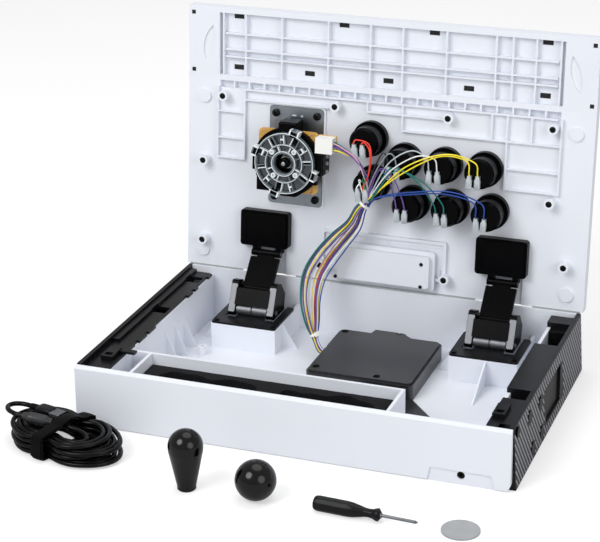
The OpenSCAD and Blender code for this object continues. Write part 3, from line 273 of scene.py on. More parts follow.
def finish_mesh(
    name: str,
    mesh: bpy.types.Mesh,
    materials: Sequence[bpy.types.Material],
    body: Body | None,
    bevel: float = 0,
    segments: int = 2,
) -> bpy.types.Object:
    """Scales a mesh to metres, shades it, dresses it and rides it.

    Args:
        name: the piece's name.
        mesh: its mesh, in millimetres.
        materials: its materials in the order of their places.
        body: what it rides on, or None, which leaves it unattached.
        bevel: width of the bevel on its edges in millimetres, or zero.
        segments: steps of the bevel.

    Returns:
        The object, which sits at the origin.
    """
    mesh.transform(Matrix.Scale(MM, 4))
    mesh.shade_smooth()
    mesh.set_sharp_from_angle(angle=SHARP_ANGLE)
    for i, material in enumerate(materials):
        if i < len(mesh.materials):
            mesh.materials[i] = material
        else:
            mesh.materials.append(material)
    obj = add_object(name, mesh)
    if bevel > 0:
        round_off = obj.modifiers.new("Round", "BEVEL")
        round_off.width = bevel * MM
        round_off.segments = segments
        round_off.limit_method = "ANGLE"
        round_off.angle_limit = BEVEL_ANGLE
        round_off.harden_normals = True
    if body is not None:
        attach(obj, body.value)
    LOG.info("piece %s: %d faces", name, len(mesh.polygons))
    return obj


def cut_away(mesh: bpy.types.Mesh, cutter: bpy.types.Mesh) -> bpy.types.Mesh:
    """Cuts one closed mesh out of another and returns the rest as a new mesh."""
    whole, tool = add_object("whole", mesh), add_object("tool", cutter)
    modifier = whole.modifiers.new("Cut", "BOOLEAN")
    modifier.operation = "DIFFERENCE"
    modifier.object = tool
    modifier.solver = "EXACT"
    graph = bpy.context.evaluated_depsgraph_get()
    out = bpy.data.meshes.new_from_object(whole.evaluated_get(graph))
    for obj in (whole, tool):
        bpy.data.objects.remove(obj)
    return out


# Node trees


Socket = bpy.types.NodeSocket
Inputs = dict[str | int, object]
Outputs = bpy.types.bpy_prop_collection


class NodeTree:
    """Adds nodes to a tree, each with its settings, values and links."""

    def __init__(self, tree: bpy.types.NodeTree) -> None:
        """Takes the tree."""
        self.tree = tree

    def fill(self, node: bpy.types.Node, inputs: Inputs) -> None:
        """Gives a node's inputs their values, or links where the value is a socket."""
        for key, value in inputs.items():
            if isinstance(value, Socket):
                self.tree.links.new(value, node.inputs[key])
            else:
                node.inputs[key].default_value = value

    def add(self, kind: str, inputs: Inputs | None = None, **settings: object) -> Outputs:
        """Adds a node.

        Args:
            kind: the node's type.
            inputs: value or source socket of its inputs, by name or number.
            settings: the node's own properties.

        Returns:
            The node's outputs.
        """
        node = self.tree.nodes.new(kind)
        for key, value in settings.items():
            setattr(node, key, value)
        self.fill(node, inputs or {})
        return node.outputs

    def math(self, operation: str, *values: object) -> Socket:
        """The result of an operation on up to three values."""
        return self.add("ShaderNodeMath", dict(enumerate(values)), operation=operation)[0]

    def mix(self, share: Socket, low: object, high: object) -> Socket:
        """A colour between two others."""
        return self.add("ShaderNodeMix", {"Factor": share, 6: low, 7: high}, data_type="RGBA")[2]

    def noise(self, vector: Socket, scale: Socket, detail: float) -> Socket:
        """A noise between 0 and 1."""
        return self.add("ShaderNodeTexNoise", {"Vector": vector, "Scale": scale, "Detail": detail})["Fac"]

    def span(self, value: Socket, low: float, high: float) -> Socket:
        """A value's share of the way from low to high, kept between 0 and 1."""
        ends = {"Value": value, "From Min": low, "From Max": high}
        return self.add("ShaderNodeMapRange", ends, clamp=True)["Result"]


class GroupTree(NodeTree):
    """A node group with named sockets."""

    kind = "ShaderNodeTree"

    def __init__(self, name: str, inputs: dict[str, str], outputs: dict[str, str]) -> None:
        """Makes the group.

        Args:
            name: the group's name.
            inputs: socket kinds by name.
            outputs: socket kinds by name.
        """
        super().__init__(bpy.data.node_groups.new(name, self.kind))
        for side, sockets in (("INPUT", inputs), ("OUTPUT", outputs)):
            for label, kind in sockets.items():
                self.tree.interface.new_socket(name=label, in_out=side, socket_type=f"NodeSocket{kind}")
        self.given = self.add("NodeGroupInput")


class GeometryTree(GroupTree):
    """A geometry node tree, ended by Realize Instances and Set Material."""

    kind = "GeometryNodeTree"

    def __init__(self, name: str, inputs: dict[str, str]) -> None:
        """Makes the tree with its own inputs, those for the geometry and the finish, and its output."""
        ends = {"Geometry": "Geometry"}
        super().__init__(name, {**ends, **inputs, "Finish": "Material"}, ends)

    def close(self, geometry: Socket) -> None:
        """Realizes the instances, sets the material and ends the tree."""
        real = self.add("GeometryNodeRealizeInstances", {"Geometry": geometry})
        inputs = {"Geometry": real["Geometry"], "Material": self.given["Finish"]}
        self.add("NodeGroupOutput", {"Geometry": self.add("GeometryNodeSetMaterial", inputs)["Geometry"]})

    def run(self, mesh: bpy.types.Mesh, values: dict[str, object]) -> bpy.types.Mesh:
        """Runs the tree on a mesh.

        Args:
            mesh: what goes in.
            values: value of each input, by name.

        Returns:
            The realized mesh.
        """
        host = add_object("host", mesh)
        modifier = host.modifiers.new("Nodes", "NODES")
        modifier.node_group = self.tree
        for item in self.tree.interface.items_tree:
            if item.in_out == "INPUT" and item.name in values:
                modifier[item.identifier] = values[item.name]
        host.update_tag()
        graph = bpy.context.evaluated_depsgraph_get()
        out = bpy.data.meshes.new_from_object(host.evaluated_get(graph), depsgraph=graph)
        bpy.data.objects.remove(host)
        return out


def scatter_tree() -> GeometryTree:
    """Puts a template on each point, its Z axis along the point's own direction, turned at random."""
    inputs = {"Template": "Object", "Size": "Float", "Most Turn": "Float", "Seed": "Int"}
    made = GeometryTree("Fasteners on points", inputs)
    given = made.given
    facing = made.add("GeometryNodeInputNamedAttribute", {"Name": "facing"}, data_type="FLOAT_VECTOR")
    aim = made.add("FunctionNodeAlignRotationToVector", {"Vector": facing[0]}, axis="Z")
    most = {3: given["Most Turn"], 8: given["Seed"]}
    chance = made.add("FunctionNodeRandomValue", most, data_type="FLOAT")
    spin = made.add("FunctionNodeAxisAngleToRotation", {"Angle": chance[1]})
    both = {"Rotation": aim["Rotation"], "Rotate By": spin["Rotation"]}
    turn = made.add("FunctionNodeRotateRotation", both, rotation_space="LOCAL")
    puts = {
        "Points": given["Geometry"],
        "Instance": made.add("GeometryNodeObjectInfo", {"Object": given["Template"]})["Geometry"],
        "Rotation": turn["Rotation"],
        "Scale": given["Size"],
    }
    made.close(made.add("GeometryNodeInstanceOnPoints", puts)["Instances"])
    return made


def ridge_tree() -> GeometryTree:
    """Sweeps a low roof-shaped ridge along each edge."""
    made = GeometryTree("Ridges on lines", {"Width": "Float"})
    line = made.add("GeometryNodeMeshToCurve", {"Mesh": made.given["Geometry"]})["Curve"]
    section = {"Resolution": 4, "Radius": made.math("MULTIPLY", made.given["Width"], 0.5)}
    ring = made.add("GeometryNodeCurvePrimitiveCircle", section, mode="RADIUS")["Curve"]
    sweep = {"Curve": line, "Profile Curve": ring, "Fill Caps": True}
    made.close(made.add("GeometryNodeCurveToMesh", sweep)["Mesh"])
    return made


def points_mesh(places: Sequence[tuple[Vector, Vector]]) -> bpy.types.Mesh:
    """A mesh of loose points, each with the direction that its fastener faces."""
    mesh = bpy.data.meshes.new("points")
    mesh.from_pydata([point for point, _ in places], [], [])
    facing = mesh.attributes.new("facing", "FLOAT_VECTOR", "POINT")
    for i, (_, direction) in enumerate(places):
        facing.data[i].vector = direction
    return mesh


# Shader groups and finishes


def grain_group() -> bpy.types.NodeTree:
    """Moulded grain: fine height, slow mottling of the colour and an uneven roughness."""
    inputs = {"Vector": "Vector", "Shade": "Color", "Tint": "Color"}
    inputs.update(dict.fromkeys(("Grain Scale", "Mottle Scale", "Roughness", "Spread"), "Float"))
    made = GroupTree("Moulded grain", inputs, {"Colour": "Color", "Roughness": "Float", "Height": "Float"})
    given = made.given
    share = made.noise(given["Vector"], given["Mottle Scale"], 4)
    centre = made.math("SUBTRACT", share, 0.5)
    ends = {
        "Colour": made.mix(share, given["Shade"], given["Tint"]),
        "Roughness": made.math("MULTIPLY_ADD", centre, given["Spread"], given["Roughness"]),
        "Height": made.noise(given["Vector"], given["Grain Scale"], 3),
    }
    made.add("NodeGroupOutput", ends)
    return made.tree


def scratch_group() -> bpy.types.NodeTree:
    """Fine handling marks: a mask of thin streaks along two crossed directions."""
    inputs = {"Vector": "Vector", "Scale": "Float", "Amount": "Float"}
    made = GroupTree("Handling marks", inputs, {"Mask": "Float"})
    masks = []
    for turn in (0.6, 2.1):
        spin = {"Vector": made.given["Vector"], "Rotation": (turn, turn * 0.7, turn), "Scale": (1, 14, 1)}
        spun = made.add("ShaderNodeMapping", spin)["Vector"]
        masks.append(made.span(made.noise(spun, made.given["Scale"], 2), 0.64, 0.74))
    mask = made.math("MULTIPLY", made.math("MAXIMUM", *masks), made.given["Amount"])
    made.add("NodeGroupOutput", {"Mask": mask})
    return made.tree


def cell_group() -> bpy.types.NodeTree:
    """Open cells of foam: a height with round pits, and a mask of the pits that the finish uses to paint
    shade into them.
    """
    inputs = {"Vector": "Vector", "Scale": "Float"}
    made = GroupTree("Open cells", inputs, {"Height": "Float", "Pits": "Float"})
    places = {name: made.given[name] for name in inputs}
    distance = made.add("ShaderNodeTexVoronoi", places, feature="F1")["Distance"]
    made.add("NodeGroupOutput", {"Height": distance, "Pits": made.span(distance, 0.5, 0.12)})
    return made.tree


class Groups:
    """The shader groups, each built once."""

    def __init__(self) -> None:
        """Builds them."""
        self.grain = grain_group()
        self.scratches = scratch_group()
        self.cells = cell_group()


@dataclass(frozen=True)
class Finish:
    """One finish: its screen colours, its gloss, and the size of its grain in millimetres."""

    name: str
    shade: Place
    tint: Place
    roughness: float
    spread: float = 0.08
    grain: float = 0.5
    mottle: float = 30
    depth: float = 0.02
    metallic: float = 0
    coat: float = 0
    clear: float = 0
    marks: float = 0
    marks_colour: Place = (0, 0, 0)
    # Size of open cells; their pits are darkened in colour as painted shade.
    cells: float = 0
    sheen: float = 0
    level: float = 0.5

    coat_roughness = 0.12
    marks_scale = 120
    # Share of the base colour left in the cells' pits: painted shade.
    pit_painted_shade = 0.35
    bump = 0.6

    def build(self, groups: Groups) -> bpy.types.Material:
        """Builds the material from the shader groups.

        Args:
            groups: the shader groups.

        Returns:
            The material.
        """
        material = bpy.data.materials.new(self.name)
        material.use_nodes = True
        made = NodeTree(material.node_tree)
        vector = made.add("ShaderNodeTexCoord")["Object"]
        shade = tone(*self.shade)
        inputs = {
            "Vector": vector,
            "Grain Scale": 1 / (self.grain * MM),
            "Mottle Scale": 1 / (self.mottle * MM),
            "Shade": shade,
            "Tint": tone(*self.tint),
            "Roughness": self.roughness,
            "Spread": self.spread,
        }
        grain = made.add("ShaderNodeGroup", inputs, node_tree=groups.grain)
        colour, height = grain["Colour"], grain["Height"]
        if self.marks > 0:
            inputs = {"Vector": vector, "Scale": self.marks_scale, "Amount": self.marks}
            mask = made.add("ShaderNodeGroup", inputs, node_tree=groups.scratches)["Mask"]
            colour = made.mix(mask, colour, tone(*self.marks_colour))
        if self.cells > 0:
            inputs = {"Vector": vector, "Scale": 1 / (self.cells * MM)}
            cells = made.add("ShaderNodeGroup", inputs, node_tree=groups.cells)
            # The pits are darkened in colour as well as sunk: painted shade.
            painted_pit_shade = (*(channel * self.pit_painted_shade for channel in shade[:3]), 1)
            colour, height = made.mix(cells["Pits"], colour, painted_pit_shade), cells["Height"]
        inputs = {"Strength": self.bump, "Distance": self.depth * MM, "Height": height}
        normal = made.add("ShaderNodeBump", inputs)["Normal"]
        made.fill(
            material.node_tree.nodes["Principled BSDF"],
            {
                "Metallic": self.metallic,
                "Coat Weight": self.coat,
                "Coat Roughness": self.coat_roughness,
                "Transmission Weight": self.clear,
                "Sheen Weight": self.sheen,
                "Specular IOR Level": self.level,
                "Base Color": colour,
                "Roughness": grain["Roughness"],
                "Normal": normal,
            },
        )
        material.diffuse_color = shade
        return material


WHITE, BLACK, GLOSS = "white moulded plastic", "black moulded plastic", "gloss black plastic"

FINISHES = (
    Finish(WHITE, (228, 232, 240), (232, 235, 243), 0.42, 0.08, 0.35, 60, 0.012),
    Finish(
        BLACK, (10, 10, 12), (17, 17, 20), 0.34, 0.12, 0.5, 22, marks=0.12, marks_colour=(60, 60, 64),
        level=0.2,
    ),
    Finish(GLOSS, (3, 3, 4), (7, 7, 9), 0.24, 0.1, 0.6, 18, 0.004, level=0.05),
    Finish("polished black knob", (1, 1, 2), (3, 3, 4), 0.14, 0.03, 0.6, 18, 0.002, level=0.35),
    Finish(
        "satin board cover", (30, 31, 33), (38, 39, 42), 0.3, 0.1, 0.6, 26, marks=0.15,
        marks_colour=(80, 81, 85), level=0.55,
    ),
    Finish("dark side plastic", (10, 10, 13), (17, 17, 20), 0.4, 0.1, 0.5, 26, level=0.22),
    # Light grey on the dark panels' ridges: painted highlights along them.
    Finish("panel ridge painted highlight", (142, 143, 149), (160, 161, 167), 0.4, 0.1, 0.5, 26),
    Finish(
        "brushed steel", (186, 188, 192), (212, 214, 217), 0.42, 0.14, 0.25, 12, 0.01, 1, marks=0.35,
        marks_colour=(120, 123, 128),
    ),
    Finish(
        "plated mounting steel", (132, 139, 147), (160, 166, 173), 0.36, 0.16, 0.3, 16, 0.01, 1, marks=0.3,
        marks_colour=(86, 90, 96),
    ),
    Finish(
        "dull steel", (118, 120, 124), (138, 140, 144), 0.48, 0.12, 0.25, 8, 0.01, 1, marks=0.3,
        marks_colour=(62, 64, 68),
    ),
    Finish(
        "bare steel", (160, 162, 166), (186, 188, 192), 0.34, 0.14, 0.25, 8, 0.01, 1, marks=0.3,
        marks_colour=(140, 143, 148),
    ),
    Finish(
        "charcoal foam", (21, 21, 24), (30, 30, 33), 0.95, 0.06, 0.5, 16, 0.5, cells=1.1, sheen=0.03,
        level=0.1,
    ),
    Finish("mat rubber", (30, 30, 32), (40, 40, 42), 0.85, 0.08, 0.9, 14, 0.15, cells=2.4),
    Finish(
        "smoky clear plastic", (104, 116, 124), (142, 152, 158), 0.14, 0.08, 0.8, 10, 0.01, coat=0.5,
        clear=0.35,
    ),
    Finish("clear gate", (46, 56, 64), (74, 84, 92), 0.1, 0.06, 0.8, 10, 0.01, coat=0.5, clear=0.4),
    Finish("clear gate edge", (112, 126, 134), (146, 158, 166), 0.14, 0.1, 0.8, 6, 0.01, coat=0.6, clear=0.4),
    # Near-white colour that paints highlights on the gate's rims, ribs, posts and clips.
    Finish("clear gate painted highlight", (226, 233, 237), (240, 245, 247), 0.2, 0.08, 0.8, 8, 0.01, coat=0.4),
    Finish("clear sleeve", (206, 216, 224), (240, 245, 248), 0.12, 0.08, 0.8, 3, coat=0.5, clear=0.4),
    Finish("amber board", (196, 142, 52), (222, 172, 84), 0.38, 0.1, 0.4, 8, 0.01, coat=0.2),
    Finish("green board", (18, 66, 40), (26, 88, 52), 0.34, 0.1, 0.5, 9, 0.01, coat=0.2),
    Finish("white nylon", (236, 236, 232), (244, 244, 240), 0.4, 0.08, 0.4, 12, 0.01),
    Finish("black cable", (3, 3, 4), (8, 8, 10), 0.26, 0.12, 0.5, 14, level=0.16),
    Finish("connector shell", (34, 35, 38), (46, 47, 50), 0.4, 0.12, 0.4, 8, 0.03, level=0.4),
    Finish("hook strap", (4, 4, 5), (9, 9, 10), 0.95, 0.04, 0.45, 3, 0.25, sheen=0.04, level=0.08),
    Finish("dark face plate", (28, 29, 33), (34, 35, 39), 0.38, 0.08, 0.5, 40, 0.01),
    # The blanking disc's own grey; the lid's grey strip uses it too, as painted shadow in the gap under its
    # edge.
    Finish("grey disc", (150, 152, 155), (168, 170, 173), 0.5, 0.1, 0.5, 10, 0.01),
    # Near-black colour that paints the shade inside the lid's slots.
    Finish("painted slot shade", (6, 6, 7), (10, 10, 11), 0.7, 0.1, 0.5, 10, 0.01),
)

WIRE_COLOURS = {
    "red": (226, 62, 44),
    "white": (224, 228, 232),
    "pale": (176, 184, 190),
    "grey": (128, 134, 142),
    "yellow": (246, 214, 32),
    "purple": (96, 66, 138),
    "teal": (6, 104, 98),
    "blue": (26, 66, 146),
    "black": (22, 22, 28),
    "green": (36, 120, 64),
    "pink": (206, 150, 176),
    "navy": (28, 40, 92),
}

NODE_FINISH = {
    WHITE: ("base_tray", "lid_shell", "touchpad_cover"),
    BLACK: (
        "left_rail", "right_rail", "headset_jack", "left_hinge_bracket", "right_hinge_bracket", "base_screws",
        "lid_screws", "lever_housing", "left_latch", "right_latch", "screwdriver", "cable_tie", "usb_plug",
        "inline_connector",
    ),
    "dark side plastic": ("left_side_panel", "right_side_panel", "touchpad"),
    "mat rubber": ("anti_slip_mat",),
    "charcoal foam": ("foam_insert",),
    "satin board cover": ("board_cover",),
    "green board": ("main_board",),
    "amber board": ("lever_switch_board",),
    "dull steel": ("hinge_pins", "neck_pins"),
    "brushed steel": ("button_terminals", "lever_gimbal", "lever_shaft"),
    "plated mounting steel": ("lever_mount_plate",),
    "black cable": ("harness_loop", "harness_lid", "cable_hank"),
    "dark face plate": ("top_faceplate",),
    "smoky clear plastic": ("lever_gate",),
    "white nylon": ("lever_connector",),
    "polished black knob": ("ball_top", "bat_top"),
    "grey disc": ("blanking_disc",),
}


class Palette:
    """All finishes as materials, by name."""

    def __init__(self, groups: Groups) -> None:
        """Builds them, and the satin sleeve of each wire colour."""
        wires = []
        for name, shade in WIRE_COLOURS.items():
            tint = tuple(min(255, channel * 1.12 + 6) for channel in shade)
            wires.append(Finish(f"{name} wire", shade, tint, 0.34, 0.1, 0.4, 9, 0.01))
        self.made = {finish.name: finish.build(groups) for finish in (*FINISHES, *wires)}

    def of(self, *names: str) -> list[bpy.types.Material]:
        """The materials of those names."""
        return [self.made[name] for name in names]

    def dress_nodes(self) -> None:
        """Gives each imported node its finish; a node that isn't named is gloss black."""
        finishes = {node: name for name, nodes in NODE_FINISH.items() for node in nodes}
        for name, obj in frame["nodes"].items():
            material = self.made[finishes.get(name, GLOSS)]
            if not obj.material_slots:
                obj.data.materials.append(material)
            for place in obj.material_slots:
                place.material = material


# Camera, light and floor


@dataclass
class Studio:
    """The camera of the photograph, a pale floor and soft light.

    Places and lengths are in metres, the lens and the sensor in millimetres.
    """

    lens: float = 115.88
    sensor: float = 36
    shift: Pair = (-0.0262, -0.0107)
    eye: Place = (0.530623, -1.528823, 0.772525)
    right: Place = (0.94184454, 0.33601199, -0.00497948)
    up: Place = (-0.11949902, 0.34873246, 0.92957284)
    back: Place = (0.31408413, -0.87491806, 0.36860486)
    clip: Pair = (0.05, 60)
    floor_half: float = 6
    floor_shade: float = 0.62
    floor_glow: float = 0.44
    floor_rough: float = 0.9
    floor_level: float = 0.1
    lamps: tuple[tuple[str, Place, float, float], ...] = (
        ("key", (-0.9, -1.7, 1.7), 1.4, 30),
        ("fill", (1.8, -1.3, 1), 1.6, 14),
        ("top", (0.1, 0.3, 2.2), 1.8, 13),
    )
    lamps_aim: Place = (0, 0, 0.12)
    world_strength: float = 0.52
    white: Colour = (1, 1, 1, 1)

    def camera(self) -> None:
        """Makes the scene's camera."""
        data = bpy.data.cameras.new("camera")
        data.lens = self.lens
        data.sensor_width = self.sensor
        data.shift_x, data.shift_y = self.shift
        data.clip_start, data.clip_end = self.clip
        obj = add_object("camera", data)
        turn = Matrix((self.right, self.up, self.back)).transposed()
        obj.matrix_world = moved(*self.eye) @ turn.to_4x4()
        bpy.context.scene.camera = obj

    def floor(self) -> None:
        """Makes the pale floor, which keeps the shadow."""
        mesh = bpy.data.meshes.new("floor")
        half = self.floor_half
        corners = [(-half, -half, 0), (half, -half, 0), (half, half, 0), (-half, half, 0)]
        mesh.from_pydata(corners, [], [(0, 1, 2, 3)])
        material = bpy.data.materials.new("floor")
        material.use_nodes = True
        made = NodeTree(material.node_tree)
        glow = made.math("MULTIPLY", made.add("ShaderNodeLightPath")["Is Camera Ray"], self.floor_glow)
        made.fill(
            material.node_tree.nodes["Principled BSDF"],
            {
                "Base Color": (*(self.floor_shade,) * 3, 1),
                "Roughness": self.floor_rough,
                "Specular IOR Level": self.floor_level,
                "Emission Color": self.white,
                "Emission Strength": glow,
            },
        )
        mesh.materials.append(material)
        add_object("floor", mesh)

    def lights(self) -> None:
        """Hangs the soft lamps and lights the world, which shows white behind the object."""
        for name, place, size, power in self.lamps:
            data = bpy.data.lights.new(name, "AREA")
            data.shape = "DISK"
            data.size = size
            data.energy = power
            obj = add_object(name, data)
            obj.location = place
            obj.rotation_mode = "QUATERNION"
            obj.rotation_quaternion = (Vector(self.lamps_aim) - Vector(place)).to_track_quat("-Z", "Y")
        world = bpy.data.worlds.new("studio")
        bpy.context.scene.world = world
        world.use_nodes = True
        made = NodeTree(world.node_tree)
        rays = made.add("ShaderNodeLightPath")
        seen = made.math("MAXIMUM", rays["Is Camera Ray"], rays["Is Transmission Ray"])
        ends = {"Value": seen, "To Min": self.world_strength, "To Max": 1}
        strength = made.add("ShaderNodeMapRange", ends)["Result"]
        made.fill(world.node_tree.nodes["Background"], {"Color": self.white, "Strength": strength})
        bpy.context.scene.view_settings.view_transform = "Standard"


# Cable with its plug, tie and inline connector


class CableHank:
    """The detachable cable, wound in layers and drawn in at the tied waist."""

    frame = moved(-189, -176.981, 0) @ turned(-14)
    half_long = 37
    half_wide = 19
    fan = 4.5
    waist = 8
    loops = 3
    layers = 4
    cable = 4.4
    step = cable + 1
    rise = cable + 0.7
    first_turn = 0.4167
    last_turn = loops * layers - 0.4
    steps = 24
    bend_steps = 14
    cable_sides = 12
    tie_thick = 1.4
    tie_wide = 12
    seam = 0.3
    plug_thick, plug_wide = 7.5, 12
    inline_wide, inline_long = 10, 27
    top = tie_thick + seam + layers * rise
    inline_way = Vector((-0.93, -0.34, 0.13)).normalized()
    inline_in = Vector((-0.25 * half_long, -0.13 * half_long, top + cable / 2))
    plug_in = Vector((-1.19 * half_long, 0.21 * half_long, top + plug_thick / 2 + seam))
    plug_shares = (0.22, 0.45, 0.3)
    plug_round = 2.2
    relief_ribs = 5
    relief_rib = ((0, 0), (0.45, 0), (0.5, 0.6), (0.95, 0.6))
    relief_bore, relief_end, relief_radius, relief_flare = 0.4, 2.6, 2.7, 0.5
    shell_width = 4.5
    shell_wall = 0.4
    shell_side = 0.5
    contact_low, contact_high = (-1.5, 1.5), (0.2, -0.8)
    contact_side = 1.6
    inline_profile = (
        (0.29, 0), (0.33, 0), (0.35, 0.03), (0.33, 0.05), (0.36, 0.08), (0.34, 0.1), (0.4, 0.16),
        (0.47, 0.19), (0.5, 0.23), (0.5, 0.6), (0.485, 0.605), (0.485, 0.62), (0.5, 0.625), (0.5, 0.78),
        (0.47, 0.81), (0.4, 0.84), (0.34, 0.9), (0.36, 0.92), (0.33, 0.95), (0.35, 0.97), (0.33, 1),
        (0.29, 1), (0.29, 0),
    )

    def ease(self, t: float) -> float:
        """A smooth step from 0 to 1."""
        c = min(1, max(0, t))
        return c * c * (3 - 2 * c)

    def place(self, u: float) -> Vector:
        """The point of the hank after u turns, in its own frame."""
        angle = math.radians(360 * u + 90)
        offset = self.step * abs((u + self.loops) % (2 * self.loops) - self.loops)
        level = sum(self.ease((u - n * self.loops + 0.25) * 2) for n in range(1, self.layers))
        q = math.cos(angle)
        x = (self.half_long + offset) * q + self.fan * math.cos(math.pi * level) * max(0, q) ** 2
        y = math.sin(angle) * (self.half_wide + offset - self.waist * math.exp(-q * q * 9))
        return Vector((x, y, self.tie_thick + self.seam + self.cable / 2 + self.rise * level))

    def bend(self, a: Vector, b: Vector, c: Vector, d: Vector) -> list[Vector]:
        """Points of a Bezier curve, its start left out."""
        shares = [i / self.bend_steps for i in range(1, self.bend_steps + 1)]
        return [
            (1 - t) ** 3 * a + 3 * (1 - t) ** 2 * t * b + 3 * (1 - t) * t * t * c + t**3 * d for t in shares
        ]

    def route(self) -> list[Vector]:
        """The route's points: the wound loops, the way to the connector, and the loop to the plug."""
        turns = self.last_turn - self.first_turn
        rings = math.floor(turns * self.steps)
        core = [self.place(self.first_turn + turns * i / rings) for i in range(rings + 1)]
        into, long = self.inline_way, self.half_long
        ahead = core[-1] + 0.49 * long * (core[-1] - core[-2]).normalized()
        turn = self.bend(core[-1], ahead, self.inline_in - 1.27 * long * into, self.inline_in)
        out_of = self.inline_in + self.inline_long * into
        back = Vector((0.7 * long, 0, 0))
        loop = self.bend(out_of, out_of + 0.7 * long * into, self.plug_in - back, self.plug_in)
        start = core[0] + (core[0] - core[1]).normalized() * self.cable
        return [self.frame @ point for point in (start, *core, *turn, *loop)]

    def build(self, palette: Palette) -> None:
        points = self.route()
        path = smooth_path(points, 2)
        maker = Maker()
        maker.tube(path, self.cable / 2, self.cable_sides)
        cable = maker.piece("coiled_cable", palette.of("black cable"), Body.BASE, Slot.CABLE)
        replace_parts(cable, "cable_hank")
        self.plug(palette)
        self.connector(palette)
        self.strap(palette)

    def plug(self, palette: Palette) -> bpy.types.Object:
        """The plug: a ribbed strain relief, a moulded body and an open steel shell."""
        relief, body, shell = (share * self.half_long for share in self.plug_shares)
        turn = self.frame @ moved(*(self.plug_in + Vector((self.seam, 0, 0)))) @ turned(90, "Y")
        maker = Maker()
        profile = [(self.relief_bore, 0), (self.relief_end, 0)]
        for i in range(self.relief_ribs):
            share = (i + 0.15) / self.relief_ribs
            outer = self.relief_radius + self.relief_flare * share
            for offset, depth in self.relief_rib:
                profile.append((outer - depth, (share + offset / self.relief_ribs) * relief))
        maker.lathe([*profile, (self.relief_bore, relief)], turn, 24)
        front = relief + body
        stations = (
            (relief - 0.5, 0.55, 0.6), (relief + 1.2, 0.86, 0.84), (relief + 3, 0.98, 0.97),
            (relief + 5, 1, 1), (front - 1, 1, 1), (front - 0.2, 0.97, 0.94), (front, 0.9, 0.86),
        )
        thick, wide, bend = self.plug_thick, self.plug_wide, self.plug_round
        maker.stack([(z, rounded(thick * a, wide * b, bend * a, 5)) for z, a, b in stations], turn)
        start, end = front - 0.4, front + shell
        wide -= 2 * self.shell_side
        inside = 2 * self.shell_wall
        outer = rounded(self.shell_width, wide, 0.6, 3)
        inner = rounded(self.shell_width - inside, wide - inside, 0.4, 3)
        maker.stack(((start, outer), (end, outer), (end, inner), (start + 2, inner)), turn, 1)
        half = self.plug_wide / 2 - self.contact_side
        (x0, z0), (x1, z1) = self.contact_low, self.contact_high
        maker.block((x0, -half, start + z0), (x1, half, end + z1), turn, 2)
        piece = maker.piece("cable_plug", palette.of(BLACK, "dull steel", BLACK), Body.BASE, Slot.BLACK)
        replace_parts(piece, "usb_plug")
        return piece

    def connector(self, palette: Palette) -> bpy.types.Object:
        """The breakaway connector in the cable, with stepped ends."""
        turn = self.frame @ moved(*self.inline_in) @ aimed(self.inline_way, "Y")
        maker = Maker()
        profile = [(r * self.inline_wide, z * self.inline_long) for r, z in self.inline_profile]
        maker.lathe(profile, turn, 40, caps=False)
        piece = maker.piece("cable_connector", palette.of("connector shell"), Body.BASE, Slot.BLACK)
        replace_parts(piece, "inline_connector")
        return piece

    def band(self, point: Vector, ahead: Vector, shift: float, section: Outline) -> list[Vector]:
        """One section of the strap: each point across it and out of its face."""
        out = Vector((0, ahead.z, -ahead.y))
        return [self.frame @ (point + Vector((shift + x, 0, 0)) + out * h) for x, h in section]

    def strap(self, palette: Palette) -> bpy.types.Object:
        """The soft hook-and-loop strap that draws the hank in, with its loose end folded down."""
        half = self.half_wide + self.loops * self.step - self.waist + self.cable / 2
        half += self.waist * (1 - math.exp(-9 * (self.tie_wide / 2 / self.half_long) ** 2)) + 1
        top = self.top + 0.6
        low = 1.08
        ring = (
            (0, low), (half - 5, low), (half - 0.8, 2.8), (half, 7), (half, top - 6), (half - 1.4, top - 1.8),
            (half - 6, top), (half * 0.55, top + 1.2), (half * 0.34, top + 4.4), (3, top + 5.6),
            (-6, top + 4.6), (-half * 0.42, top + 1.6), (-half * 0.7, top + 0.3), (-half + 5, top - 0.2),
            (-half + 1.2, top - 1.8), (-half, top - 6), (-half, 7), (-half + 0.8, 2.8), (-half + 5, low),
            (0, low),
        )
        centre = smooth_path([Vector((0, y, z)) for y, z in ring], 4)[:-1]
        rings = []
        thick = 0.65
        for k, point in enumerate(centre):
            ahead = (centre[(k + 1) % len(centre)] - centre[k - 1]).normalized()
            wide = self.tie_wide / 2 * (1 + 0.05 * math.sin(k * 1.7))
            section = (
                (-wide, -thick), (-wide * 0.5, -thick), (0, -thick), (wide * 0.5, -thick), (wide, -thick),
                (wide + 0.2, 0), (wide, thick), (wide * 0.5, thick + 0.25), (0, thick + 0.35),
                (-wide * 0.5, thick + 0.25), (-wide, thick), (-wide - 0.2, 0),
            )
            rings.append(self.band(point, ahead, 0.9 * math.sin(k * 0.33) + point.y * 0.12, section))
        maker = Maker()
        maker.loft([*rings, rings[0]], caps=False)
        fold = (
            (-half * 0.3, top + 3.8), (-half * 0.72, top + 1.9), (-half + 0.6, top - 0.2),
            (-half - 1.7, top - 6), (-half - 1.9, 9), (-half - 2.6, 5),
        )
        flap = smooth_path([Vector((0, y, z)) for y, z in fold], 5)
        wide = self.tie_wide / 2 - 0.6
        section = ((-wide, -0.5), (0, -0.5), (wide, -0.5), (wide, 0.5), (0, 0.7), (-wide, 0.5))
        maker.loft([self.band(p, way_along(flap, k), p.y * 0.12 + 0.6, section) for k, p in enumerate(flap)])
        piece = maker.piece("cable_strap", palette.of("hook strap"), Body.BASE, Slot.CABLE, 0.2)
        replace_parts(piece, "cable_tie")
        return piece


# Screwdriver blade and steel faces of the hinges


